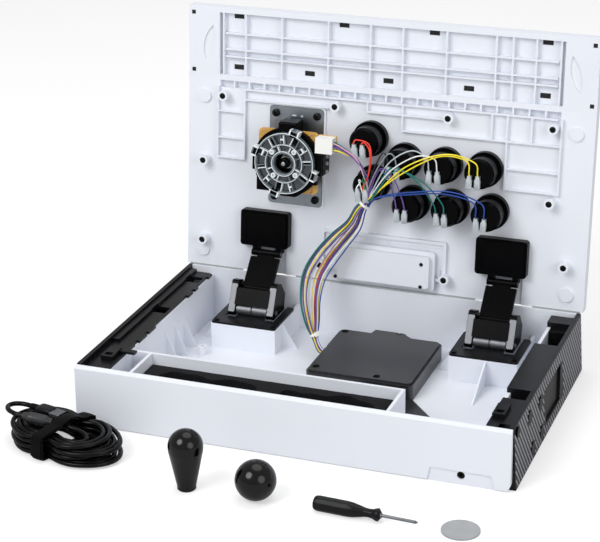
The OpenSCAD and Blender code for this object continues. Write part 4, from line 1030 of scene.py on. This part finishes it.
class DriverBlade:
    """The screwdriver's round steel blade with its cross tip."""

    place = moved(55.2, -209.731, 6.5) @ turned(-3) @ turned(90, "Y")
    low = 57.9
    high = 88.1
    radius = 1.36

    def build(self, palette: Palette) -> None:
        """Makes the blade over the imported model's one, up to its tip."""
        maker = Maker()
        low, high, r = self.low, self.high, self.radius
        tip = ((r * 0.8, high), (0.9, high + 0.9), (0.5, high + 1.6), (0.01, high + 1.8))
        maker.lathe(((0.01, low), (r, low), (r, high - 0.6), *tip), self.place, 24)
        collar = ((0.01, low - 0.2), (2.5, low - 0.2), (2.6, low + 0.4), (2.2, low + 0.9), (0.01, low + 0.9))
        maker.lathe(collar, self.place, 32)
        maker.piece("screwdriver_blade", palette.of("dull steel"), Body.BASE, Slot.STEEL)


class EarFaces:
    """The dull steel front edges of the links' ears, and the rollers between them."""

    hinges = (("left_link_faces", Body.LEFT_LINK, -114), ("right_link_faces", Body.RIGHT_LINK, 125))
    ear_x = 20
    ear_wide = 7
    pivot = (85, 36)
    low = (-7.18, 0.34)
    high = (4.32, 23.34)
    thick = 0.5
    sunk = 0.2
    roller = 5.7
    roller_half = 16
    seam = 0.4
    edge = 0.5

    def build(self, palette: Palette) -> None:
        """Makes a strip along the front of each ear, round at its ends, and two rollers on each pivot."""
        rise = Vector((0, self.high[0] - self.low[0], self.high[1] - self.low[1]))
        long = rise.length
        along = rise.normalized()
        face = Matrix(((1, 0, 0, 0), (0, along.y, -along.z, 0), (0, along.z, along.y, 0), (0, 0, 0, 1)))
        shape = rounded(self.ear_wide - 0.4, long + 2, 1.2, 4)
        outline = [(x, y + long / 2) for x, y in shape]
        for name, body, x in self.hinges:
            maker = Maker()
            for side in (-self.ear_x, self.ear_x):
                place = moved(x + side, self.pivot[0] + self.low[0], self.pivot[1] + self.low[1]) @ face
                maker.stack(((-self.sunk, outline), (self.thick, outline)), place)
            maker.piece(name, palette.of("dull steel"), body, Slot.STEEL, 0.2)
        maker = Maker()
        r, edge = self.roller, self.edge
        for _, _, x in self.hinges:
            place = moved(x, *self.pivot) @ turned(90, "Y")
            for a, b in ((-self.roller_half, -self.seam), (self.seam, self.roller_half)):
                profile = ((0.01, a), (r - edge, a), (r, a + edge), (r, b - edge), (r - edge, b), (0.01, b))
                maker.lathe(profile, place, 40)
        maker.piece("hinge_rollers", palette.of("dull steel"), Body.BASE, Slot.STEEL)


# Lever


class LeverUnit:
    """What shows of the lever behind its gate: gate, switches, board and pivot."""

    place = ON_LID @ moved(-88.5, 121.99, 1)
    low = 30
    high = 35
    outer = 29.8
    middle = 19
    inner = 12.4
    hole = 9.8
    ribs = (6, 38, 64, 96, 122, 158, 192, 226, 258, 288, 326)
    # Walls ending in 3 are thin near-white rings on the rims' tops: painted highlights.
    walls = (
        (outer - 2, outer, low, high + 0.4, 1),
        (outer - 0.7, outer - 0.1, high, high + 0.6, 3),
        (middle - 1.5, middle, low, high + 0.9, 1),
        (middle - 0.7, middle - 0.1, high, high + 1.1, 3),
        (hole, inner, low, high + 1.6, 1),
        (inner - 0.8, inner - 0.1, high, high + 1.9, 3),
        (hole - 0.2, outer - 1, low, low + 1, 0),
    )
    post = (
        (AXIS, low), (2.5, low), (2.5, high + 1.2), (2.1, high + 1.5), (1.3, high + 1.5), (1.3, high - 1),
        (AXIS, high - 1),
    )
    # The clip's sides in place 3 are near-white: painted highlights.
    clip = (
        ((outer - 1, -5, low - 3), (outer + 4.4, -3.4, high + 1), 3),
        ((outer - 1, 3.4, low - 3), (outer + 4.4, 5, high + 1), 3),
        ((outer + 3, -3.6, low - 3), (outer + 4.4, 3.6, high + 1), 1),
        ((outer - 2.4, -3.5, low - 2), (outer + 3.1, 3.5, high + 0.5), 2),
    )
    switch_sides = ((0, 36.5, 10.4), (90, 38.5, 8.8), (180, 35, 10.4), (270, 34, 10.4))
    switch_blocks = ((23.5, 0, 0, 7, 25.4), (23, 0.6, 0.4, 25.9, 28.8), (24.5, 1.4, 1, 25.2, 26.2))
    legs = (-7.6, 0.4, 7.2)
    leg_half, leg_low, leg_high = 1.6, (-0.3, 17), (2.6, 17.9)
    pin = ((AXIS, 28.4), (1.7, 28.4), (1.7, 29.3), (AXIS, 29.5))
    pins = (-6.5, 6.5)
    pin_in = 4.2
    under = ((15.5, 28.2, 22, 29.3), (27.9, 33.6, 22.8, 28.2))
    joints = 7
    joint_x = 35
    joint_z = (22.5, 22.7, 23.2, 23.4)
    blocks = (
        ((-30, -30, 22.8), (-12, -14, 28)),
        ((22, -20, 22.8), (31.2, 16, 28)),
        ((-30.8, -16, 22.8), (-22, 12, 28)),
    )
    foot = (
        ((AXIS, 27), (4.8, 27), (5.3, 28), (5.3, 32.6), (4.8, 33.2), (4.3, 33.2), (4.3, 33), (AXIS, 33)),
        ((AXIS, 34), (4.08, 34), (4.08, 36.2), (3.5, 36.9), (2.6, 36.9), (2.4, 36.3), (AXIS, 36.3)),
        ((AXIS, 36.2), (2, 36.2), (2, 36.7), (1.5, 37), (AXIS, 37)),
    )

    def wall(self, maker: Maker, r0: float, r1: float, z0: float, z1: float, slot: int = 0) -> None:
        """Adds a round wall between two radii with softened upper edges."""
        edge = min(0.35, (r1 - r0) * 0.3)
        rim = ((r1, z1 - edge), (r1 - edge, z1), (r0 + edge, z1), (r0, z1 - edge))
        maker.lathe(((r0, z0), (r1, z0), *rim, (r0, z0)), self.place, 72, slot, caps=False)

    def gate(self, palette: Palette) -> None:
        """The clear gate: rims, an uneven ring of ribs, an eight-sided guide, posts and four clips, with
        painted highlights in near-white on thin rings atop the rims and on some ribs, spokes, posts and
        clips.
        """
        z0, z1, middle = self.low, self.high, self.middle
        maker = Maker()
        for wall in self.walls:
            self.wall(maker, *wall)
        # Ribs, spokes and posts in place 3 are near-white: painted highlights.
        for i, angle in enumerate(self.ribs):
            place = self.place @ turned(angle)
            wide = 1.5 + 0.8 * (i % 3)
            for shift in (-wide, wide):
                slot = 3 if (i + (shift > 0)) % 2 else 1
                low, high = (middle - 0.3, shift - 0.45, z0 + 0.6), (self.outer - 1.8, shift + 0.45, z1 - 0.2)
                maker.block(low, high, place, slot)
            if i % 2:
                maker.block((22.6, -wide, z0 + 0.6), (24.2, wide, z1 + 0.3), place, 3)
            else:
                maker.block((20.5, -wide, z0 + 0.6), (26, wide, z0 + 2.2), place, 2)
        for i in range(8):
            low, high = (self.inner - 0.3, -0.5, z0 + 0.6), (middle - 1.2, 0.5, z1 + 0.2)
            maker.block(low, high, self.place @ turned(i * 45 + 22.5), 3 if i % 3 else 1)
        for i in range(4):
            maker.lathe(self.post, self.place @ turned(i * 90 + 50) @ moved(middle - 3.2, 0, 0), 20, 3)
        for i in range(4):
            for low, high, slot in self.clip:
                maker.block(low, high, self.place @ turned(i * 90 + 72), slot)
        # Place 3 is the near-white painted highlight.
        materials = palette.of("clear gate", "clear gate edge", GLOSS, "clear gate painted highlight")
        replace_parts(maker.piece("lever_gate_disc", materials, Body.LID, Slot.GATE, 0.15, 1), "lever_gate")

    def switches(self, palette: Palette) -> None:
        """Four micro switches, each with a seam and a lever arm, all but the top one with legs, and dark
        blocks under the gate.
        """
        maker = Maker()
        for angle, reach, half in self.switch_sides:
            place = self.place @ turned(angle)
            for x, short, narrow, z0, z1 in self.switch_blocks:
                y = half - narrow
                maker.block((x, -y, z0), (reach - short, y, z1), place)
            if angle != 90:
                (x0, z0), (x1, z1) = self.leg_low, self.leg_high
                for y in self.legs:
                    low, high = (reach + x0, y - self.leg_half, z0), (reach + x1, y + self.leg_half, z1)
                    maker.block(low, high, place, 1)
            for y in self.pins:
                maker.lathe(self.pin, place @ moved(reach - self.pin_in, y, 0), 16)
        for wall in self.under:
            self.wall(maker, *wall)
        for low, high in self.blocks:
            maker.block(low, high, self.place)
        maker.piece("lever_switches", palette.of(GLOSS, "brushed steel"), Body.LID, Slot.BLACK, 0.35)

    def board(self, palette: Palette) -> None:
        """Solder joints that show at the corners of the lever's board."""
        maker = Maker()
        chance = random.Random(5)
        z0, z1, z2, z3 = self.joint_z
        for i in range(4):
            for _ in range(self.joints):
                x, y = self.joint_x + chance.uniform(-2.6, 3.2), chance.uniform(-4.5, 4.5)
                r = chance.uniform(0.5, 0.8)
                joint = ((r, z0), (r, z1), (r * 0.6, z2), (AXIS, z3))
                maker.lathe(joint, self.place @ turned(i * 90 + 45) @ moved(x, y, 0), 10)
        maker.piece("lever_board_joints", palette.of("bare steel"), Body.LID, Slot.STEEL)

    def build(self, palette: Palette) -> None:
        """Makes the lever's pieces, its foot last: a dark sleeve, a cap and a steel end."""
        self.gate(palette)
        self.switches(palette)
        self.board(palette)
        maker = Maker()
        for profile, sides, slot in zip(self.foot, (40, 36, 28), (0, 0, 1)):
            maker.lathe(profile, self.place, sides, slot)
        maker.piece("lever_foot", palette.of(GLOSS, "bare steel"), Body.LEVER, Slot.STEEL, 0.1, 1)


# Foam insert


class FoamPad:
    """The foam block with its two wavy hollows."""

    low = (-153, -125, 5)
    high = (84.5, -67.06, 40.5)
    cells = (150, 56)
    hollow_depth = 27
    hollow_half = 15
    slope = 1.5
    inset = 0.4
    crown = 1.6
    hollows = ((-136, -42), (-20, 70))

    def depth_at(self, x: float, y: float) -> float:
        """How far the top is sunk at a place."""
        middle = (self.low[1] + self.high[1]) / 2
        most = 0
        for i, (x0, x1) in enumerate(self.hollows):
            share = (x - x0) / (x1 - x0)
            if not -0.1 < share < 1.1:
                continue
            taper = math.sqrt(max(0, 1 - (2 * share - 1) ** 4))
            wave = 3.2 * math.sin(share * 9.5 + i * 1.6) + 1.6 * math.sin(share * 21 + i)
            edge = min(self.hollow_half * taper - abs(y - middle - wave), x - x0, x1 - x)
            down = min(1, max(0, edge / self.slope + 0.5))
            lumps = 1 - 0.07 * (1 + math.sin(x * 0.23) * math.sin(y * 0.31 + 1.2))
            most = max(most, self.hollow_depth * down * down * (3 - 2 * down) * lumps)
        return most

    def build(self, palette: Palette) -> None:
        nx, ny = self.cells
        x0, y0, z0 = (v + self.inset for v in self.low)
        x1, y1, z1 = (v - self.inset for v in self.high)
        maker = Maker()
        top = []
        for j in range(ny + 1):
            y = y0 + (y1 - y0) * j / ny
            row = []
            for i in range(nx + 1):
                x = x0 + (x1 - x0) * i / nx
                border = min(x - x0, x1 - x, y - y0, y1 - y)
                row.append(Vector((x, y, z1 - self.crown * math.exp(-border / 2.5) - self.depth_at(x, y))))
            top.append(maker.corners(row))
        for near, far in zip(top, top[1:]):
            for i in range(nx):
                maker.face((near[i], near[i + 1], far[i + 1], far[i]))
        rim = top[0][:-1] + [row[-1] for row in top[:-1]] + top[-1][:0:-1] + [row[0] for row in top[:0:-1]]
        foot = maker.corners(Vector((v.co.x, v.co.y, z0)) for v in rim)
        for k, vertex in enumerate(rim):
            n = (k + 1) % len(rim)
            maker.face((rim[n], vertex, foot[k], foot[n]))
        maker.face(foot[::-1])
        pad = maker.piece("foam_pad", palette.of("charcoal foam"), Body.BASE, Slot.FOAM)
        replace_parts(pad, "foam_insert")


# Wires


@dataclass(frozen=True)
class Wire:
    """One wire: its colour, where it ends, and how its bend differs from the plain one.

    It ends at a button's number and terminal, or at the lever's connector, which is number 0. Its seat is
    its number across the bundle, from the left. The rise at its end, the bow to the right and the arch half
    way are in millimetres.
    """

    colour: str
    button: int
    terminal: int
    seat: int
    rise: float = 0
    bow: float = 0
    arch: float = 0


WIRES = (
    Wire("red", 1, 0, 15, -6, 13),
    Wire("red", 1, 1, 16, -7, 8),
    Wire("black", 2, 0, 5),
    Wire("grey", 2, 1, 18),
    Wire("pale", 3, 0, 8, arch=7),
    Wire("white", 3, 1, 9, arch=4),
    Wire("yellow", 4, 0, 4, 1, arch=-3),
    Wire("yellow", 4, 1, 20, arch=5),
    Wire("white", 5, 0, 19),
    Wire("green", 5, 1, 6),
    Wire("purple", 6, 0, 10, 2, arch=20),
    Wire("purple", 6, 1, 13, 2, arch=24),
    Wire("teal", 7, 0, 0, arch=27),
    Wire("teal", 7, 1, 1, arch=23),
    Wire("blue", 8, 0, 17),
    Wire("blue", 8, 1, 21),
    Wire("grey", 0, 0, 7),
    Wire("yellow", 0, 1, 12),
    Wire("navy", 0, 2, 14),
    Wire("purple", 0, 3, 3),
    Wire("teal", 0, 4, 2),
    Wire("pink", 0, 5, 11),
)


class Harness:
    """The wires from the board to the lever and the buttons. The buttons are given on the lid."""

    radius = 0.65
    wire_sides = 7
    bundle = 4.1
    spread = 2.45
    sunflower = 2.39996
    buttons = (
        (-12.6, 147.8), (22.3, 129.9), (61.8, 129.9), (100.8, 129.6),
        (-7.8, 105.4), (31.7, 89.4), (70.3, 89.8), (109, 89.6),
    )
    terminal_gap = 8
    sleeve_top = -2
    sleeve_h = 30.6
    sleeve = (
        (-10, 4.2, 3.2), (-9.6, 4.8, 3.8), (-2.6, 4.8, 3.8), (-1.2, 3.4, 3), (0.6, 2.4, 2.2), (0.8, 2.2, 2),
    )
    loop = (
        (-28, 58, 14.5), (-36, 60, 16), (-41.5, 62, 26), (-48, 70, 40), (-54, 82, 58), (-54, 93, 77),
        (-46, 101, 94), (-33, 107, 112), (-20, 110, 128),
    )
    facing = Vector((0.5, -0.8, 0.3))
    before_tie = lid_at(-14, 82.5, 26.5)
    tie_x, tie_s, tie_h = -9.5, 88.5, 26
    tie = lid_at(tie_x, tie_s, tie_h)
    blend = ((-42, 63, 28), (-16, 111, 137))
    base_tie, base_tie_way = Vector((-43, 63.2, 29)), Vector((-8, 4, 15))
    band = ((0, -1.3), (1, -1.3), (1, 1.3), (0, 1.3), (0, -1.3))
    head_low, head_high = (0.2, -2.4, -2.2), (3.8, 2.4, 2.2)
    sleeve_size = 1.2

    def offset(self, index: int) -> Pair:
        """Place of a wire in the bundle's section, from -1 to 1."""
        seats = []
        for turn in range(len(WIRES)):
            reach = math.sqrt((turn + 0.5) / len(WIRES))
            seats.append((reach * math.cos(turn * self.sunflower), reach * math.sin(turn * self.sunflower)))
        return sorted(seats)[WIRES[index].seat]

    def axes(self, ahead: Vector) -> tuple[Vector, Vector]:
        """Directions across the bundle and out of it, as the camera sees it."""
        across = ahead.cross(self.facing).normalized()
        return across, across.cross(ahead).normalized()

    def loop_path(self, index: int) -> list[Vector]:
        """The wire's way from the board's cover to the tie on the lid."""
        centre = [Vector(point) for point in self.loop] + [self.before_tie, self.tie]
        u, v = self.offset(index)
        wander = random.Random(11 + index).uniform(-0.35, 0.35)
        out = []
        for i, point in enumerate(centre):
            across, side = self.axes(way_along(centre, i))
            share = i / (len(centre) - 1)
            opening = max(0, (share - 0.2) / 0.8) ** 0.75
            open_up = max(0, math.sin(math.pi * opening)) ** 1.15
            tightness = 0.62 if i < 3 else 1
            split = 0.3 * open_up * math.copysign(1, u) * (1 - 0.5 * abs(u))
            sway = open_up * (wander * 3 + 1.3 * math.sin(5.5 * share + 6 * wander + index))
            wide = (u + split) * self.bundle * (1 + (self.spread - 1) * open_up) + sway
            deep = v * self.bundle * (1 + 0.5 * open_up) + 0.8 * open_up * math.cos(7 * share + index)
            out.append(point + across * (wide * tightness) + side * (deep * tightness))
        return smooth_path(out, 7)

    def lid_path(self, index: int, wire: Wire) -> list[Vector]:
        """The wire's way from the tie on the lid to its terminal."""
        uniform = random.Random(101 + index).uniform
        across, side = self.axes((self.tie - self.before_tie).normalized())
        u, v = self.offset(index)
        start = self.tie + (across * u + side * v) * self.bundle
        sx, ss = self.tie_x, self.tie_s
        if wire.button == 0:
            row, column = divmod(wire.terminal, 2)
            ways = [
                (-5.5 + uniform(-1.5, 1.5), 104, 29 + uniform(-2, 3)),
                (-8 + uniform(-2, 2), 118, 31 + uniform(-2, 3)),
                (-18 + uniform(-2, 2), 131 + row, 31 + uniform(-2, 2)),
                (-32, 138 + 2.2 * row, 29 + 3 * column),
                (-41, 139.5 + 3.4 * row, 28 + 4.5 * column),
            ]
        else:
            x, s = self.buttons[wire.button - 1]
            tx, ts = x - self.terminal_gap * (1 - wire.terminal), s + self.sleeve_top
            reach = math.hypot(tx - sx, ts - ss)
            rise = 7 + reach * 0.07 + uniform(-1, 1.5) + wire.rise
            lift = 30 + reach * 0.035 + uniform(-1, 1)
            steer = uniform(-2, 2)
            near, far = ss + (ts - ss) * 0.52 + rise * 1.1, ss + (ts - ss) * 0.86 + rise * 1.45
            ways = [
                (sx + (tx - sx) * 0.12, ss + 9 + (ts - ss) * 0.1 + steer * 0.3, 29.5),
                (sx + (tx - sx) * 0.38 + wire.bow * 0.8, near + steer + wire.arch, lift),
                (sx + (tx - sx) * 0.72 + wire.bow, far + steer + wire.arch * 0.55, lift + 1),
                (tx - 3 * math.copysign(1, tx - sx), ts + rise, lift - 1),
                (tx, ts + 2.6, self.sleeve_h + 1),
                (tx, ts, self.sleeve_h),
            ]
        return smooth_path([start, *[lid_at(*way) for way in ways]], 8)

    def build(self, palette: Palette, scatter: GeometryTree) -> None:
        """Makes the loop, the wires on the lid, the ties and the sleeves."""
        names = sorted({wire.colour for wire in WIRES})
        materials = palette.of(*[f"{name} wire" for name in names])
        loop, lid = Maker(), Maker()
        for i, wire in enumerate(WIRES):
            slot = names.index(wire.colour)
            loop.tube(self.loop_path(i), self.radius, self.wire_sides, slot)
            lid.tube(self.lid_path(i, wire), self.radius, self.wire_sides, slot)
        loop_piece = loop.piece("harness_wires_loop", materials, None, Slot.CABLE)
        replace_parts(loop_piece, "harness_loop")
        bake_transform(loop_piece)
        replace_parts(lid.piece("harness_wires_lid", materials, Body.LID, Slot.CABLE), "harness_lid")
        ties = (
            ("harness_tie_base", Body.BASE, self.base_tie, self.base_tie_way, self.bundle * 0.75),
            ("harness_tie_lid", Body.LID, self.tie, self.tie - self.before_tie, self.bundle + 1),
        )
        for name, body, centre, way, reach in ties:
            maker = self.tie_round(moved(*centre) @ aimed(way, "X"), reach)
            maker.piece(name, palette.of("white nylon"), body, Slot.WHITE, 0.3)
        self.sleeves(palette, scatter)

    def tie_round(self, place: Matrix, reach: float) -> Maker:
        """A tie round the bundle at that reach, with its head at the side."""
        maker = Maker()
        maker.lathe([(reach + r, z) for r, z in self.band], place, 32, caps=False)
        maker.block(self.head_low, self.head_high, place @ moved(reach, 0, 0))
        return maker

    def sleeves(self, palette: Palette, scatter: GeometryTree) -> None:
        """Clear sleeves over the flat terminals of the buttons."""
        shape = Maker()
        shape.stack([(z, rounded(wide, thick, 0.3 * thick, 3)) for z, wide, thick in self.sleeve])
        template = bpy.data.objects.new("sleeve", shape.mesh("sleeve"))
        places = []
        for i, (x, s) in enumerate(self.buttons):
            for k in (0, 1):
                lean = random.Random(31 + 2 * i + k).uniform(-0.12, 0.12)
                point = lid_at(x - self.terminal_gap * (1 - k), s + self.sleeve_top, self.sleeve_h)
                places.append((point, LID_UP + LID_OUT * 0.16 + Vector((lean, 0, 0))))
        clear = palette.of("clear sleeve")
        values = {"Template": template, "Size": self.sleeve_size, "Finish": clear[0]}
        made = scatter.run(points_mesh(places), values)
        bpy.data.objects.remove(template)
        finish_mesh("terminal_sleeves", made, clear, Body.LID)


# Painted shade in the slots, painted shadow in the lid's gap, and the touchpad's plate on the lid's inner
# face


class LidInside:
    """Near-black plates sunk in the slots of the lid's front strip, which paint the shade inside them, a grey
    strip along the lid's lower edge, which paints the shadow in the gap, and the white plate with its ribs
    that closes the touchpad's opening. The slots are given in the strip's own frame.
    """

    strip = ON_LID @ moved(0, 190.9996, 0) @ turned(1.94, "X")
    rows = ((59.22, (-152, -45, 44, 152)), (9.17, (-152, -79, 0, 79, 152)))
    slot_wide, slot_tall, slot_depth = 10, 5, (-7.9, -6.1)
    corners = ((-197, 7.05), (-197, 63.45), (197, 7.05), (197, 63.45))
    corner, corner_depth = 4, (-1.9, -0.4)
    gap = 0.15
    # Spans and section of the grey strip under the lid's edge: painted shadow of the gap between lid and
    # case.
    gap_shade_spans = ((-199, -142), (-86, 97), (153, 199))
    lip_low, lip_high = (-0.4, 0.05), (1.2, 0.35)
    plate = (
        ((-56.2, 24.6, 0.3), (63.8, 50.2, 1.3)),
        ((-53, 17.3, 0.3), (61, 24.6, 1.3)),
        ((-56.2, 46.6, 1.2), (63.8, 47.4, 2)),
        ((8, 44.2, 1.2), (9, 50.2, 2.4)),
        ((-50.2, 24.6, 1.2), (-49.4, 46.6, 2)),
    )
    plate_bevel = 0.15

    def build(self, palette: Palette) -> None:
        """Makes the near-black plates that paint shade in the slots, the grey strip that paints the gap's
        shadow, and the touchpad's plate.
        """
        slots, lip, plate = Maker(), Maker(), Maker()
        half = self.slot_wide / 2 - self.gap
        h0, h1 = self.slot_depth
        # Near-black plates sunk in the slots and corner holes: painted shade.
        for s, row in self.rows:
            for x in row:
                low, high = (x - half, s + self.gap, h0), (x + half, s + self.slot_tall - self.gap, h1)
                slots.block(low, high, self.strip)
        half = self.corner / 2 - self.gap
        h0, h1 = self.corner_depth
        for x, s in self.corners:
            slots.block((x - half, s - half, h0), (x + half, s + half, h1), self.strip)
        slots.piece("lid_slots", palette.of("painted slot shade"), Body.LID, Slot.BLACK)
        # A grey strip along the lid's lower edge: painted shadow of the gap.
        for x0, x1 in self.gap_shade_spans:
            lip.block((x0, *self.lip_low), (x1, *self.lip_high), ON_LID)
        lip.piece("lid_lip", palette.of("grey disc"), Body.LID, Slot.WHITE)
        for low, high in self.plate:
            plate.block(low, high, ON_LID)
        plate.piece("touchpad_back", palette.of(WHITE), Body.LID, Slot.WHITE, self.plate_bevel, 1)


# Screws


class Screws:
    """Screw heads with a cross recess."""

    lid_places = (
        (-163, 176), (-48, 176), (64, 175.5), (164, 174.9), (-183, 110),
        (-183, 29), (-59, 18), (67, 18), (164.6, 104.1), (182, 44.5),
    )
    on_lid = (
        ("lid_screw_heads", 8.2, 3.5, lid_places),
        ("plate_screw_heads", 3.4, 3.9, ((-109.5, 80.5), (-67.5, 80.5), (-109.5, 163.5), (-67.5, 163.5))),
        ("touchpad_screw_heads", 10.9, 1.8, ((-41.5, 9), (45, 9), (45, 31.5))),
    )
    base_places = ((-23, 96.9, 18), (29.5, 108.1, 18), (-22.5, 11.4, 18), (37.7, 8.3, 18))
    base_radius = 3.2
    dome = ((AXIS, -0.3), (0.98, -0.3), (1, 0.1), (0.9, 0.42), (0.6, 0.6), (AXIS, 0.66))
    arm = 0.62
    half = 0.13

    def template(self) -> bpy.types.Object:
        """One head of one millimetre's radius, with its recess cut."""
        head, cross = Maker(), Maker()
        head.lathe(self.dome, sides=28)
        arm, half = self.arm, self.half
        quarter = ((arm, -half), (arm, half), (half, half))
        outline = []
        for c, s in ((1, 0), (0, 1), (-1, 0), (0, -1)):
            outline += [(x * c - y * s, x * s + y * c) for x, y in quarter]
        cross.stack(((0.12, outline), (1.2, outline)))
        return bpy.data.objects.new("screw", cut_away(head.mesh("head", 1e-3), cross.mesh("cross")))

    def build(self, palette: Palette, scatter: GeometryTree) -> None:
        """Makes the heads on the lid, the lever's plate, the touchpad's cover and the board's cover."""
        template = self.template()
        black = palette.of(BLACK)
        rows = []
        for name, h, radius, places in self.on_lid:
            rows.append((name, Body.LID, [(lid_at(x, s, h), LID_OUT) for x, s in places], radius))
        up = Vector((0, 0, 1))
        heads = [(Vector(place), up) for place in self.base_places]
        rows.append(("cover_screw_heads", Body.BASE, heads, self.base_radius))
        for name, body, places, radius in rows:
            values = {"Template": template, "Size": radius, "Most Turn": math.pi, "Seed": 7}
            values["Finish"] = black[0]
            piece = finish_mesh(name, scatter.run(points_mesh(places), values), black, body)
            if name == "lid_screw_heads":
                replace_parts(piece, "lid_screws")
        bpy.data.objects.remove(template)


# Side panels


class PanelStripes:
    """Fine diagonal ridges on the flared side panels, coloured light grey as painted highlights."""

    foot_x = 203.5
    top_x = 200
    top_z = 57.5
    y_range = (-124, 129.5)
    z_range = (1.5, 56)
    pitch = 6.4
    width = 1.9
    slope = -0.78
    steps = 40
    bare = ((-21, 51), (10, 45))
    holes = ((-72.05, 44.1, 7.6), (-34.1, 40, 7.6), (-32, 11, 7.6), (-64.2, 11, 7.6), (-115, 49.9, 6.4))

    def keeps(self, y: float, z: float, plain: bool) -> bool:
        """Whether a ridge may stand at this place of the panel."""
        if plain:
            return True
        (y0, y1), (z0, z1) = self.bare
        if y0 < y < y1 and z0 < z < z1:
            return False
        return all(math.hypot(y - hy, z - hz) > r for hy, hz, r in self.holes)

    def lines(self, side: int) -> bpy.types.Mesh:
        """The ridges' lines on one panel as loose edges, broken where something stands."""
        y0, y1 = self.y_range
        z0, z1 = self.z_range
        ends: list[Place] = []
        start = y0
        while start < y1 - self.slope * (z1 - z0):
            runs: list[list[Pair]] = [[]]
            for k in range(self.steps + 1):
                z = z0 + (z1 - z0) * k / self.steps
                y = start + self.slope * (z - z0)
                if y0 <= y <= y1 and self.keeps(y, z, side < 0):
                    runs[-1].append((y, z))
                elif runs[-1]:
                    runs.append([])
            for run in runs:
                for y, z in (run[0], run[-1]) if len(run) > 2 else ():
                    x = self.foot_x + (self.top_x - self.foot_x) * z / self.top_z
                    ends.append((side * x, y, z))
            start += self.pitch
        mesh = bpy.data.meshes.new("lines")
        mesh.from_pydata(ends, [(i, i + 1) for i in range(0, len(ends), 2)], [])
        return mesh

    def build(self, palette: Palette, ridges: GeometryTree) -> None:
        """Makes the ridges of both panels, in light grey as painted highlights."""
        grey = palette.of("panel ridge painted highlight")
        for side, name in ((-1, "left_panel_ridges"), (1, "right_panel_ridges")):
            made = ridges.run(self.lines(side), {"Width": self.width, "Finish": grey[0]})
            finish_mesh(name, made, grey, Body.BASE)


def main() -> None:
    """Builds everything in order."""
    logging.basicConfig(level=logging.INFO, format="%(name)s: %(message)s")
    studio = Studio()
    studio.camera()
    palette = Palette(Groups())
    scatter = scatter_tree()
    ridges = ridge_tree()
    CableHank().build(palette)
    palette.dress_nodes()
    for kind in (DriverBlade, EarFaces, LeverUnit, LidInside, FoamPad):
        kind().build(palette)
    Harness().build(palette, scatter)
    Screws().build(palette, scatter)
    PanelStripes().build(palette, ridges)
    studio.floor()
    studio.lights()


if __name__ == "__main__":
    main()
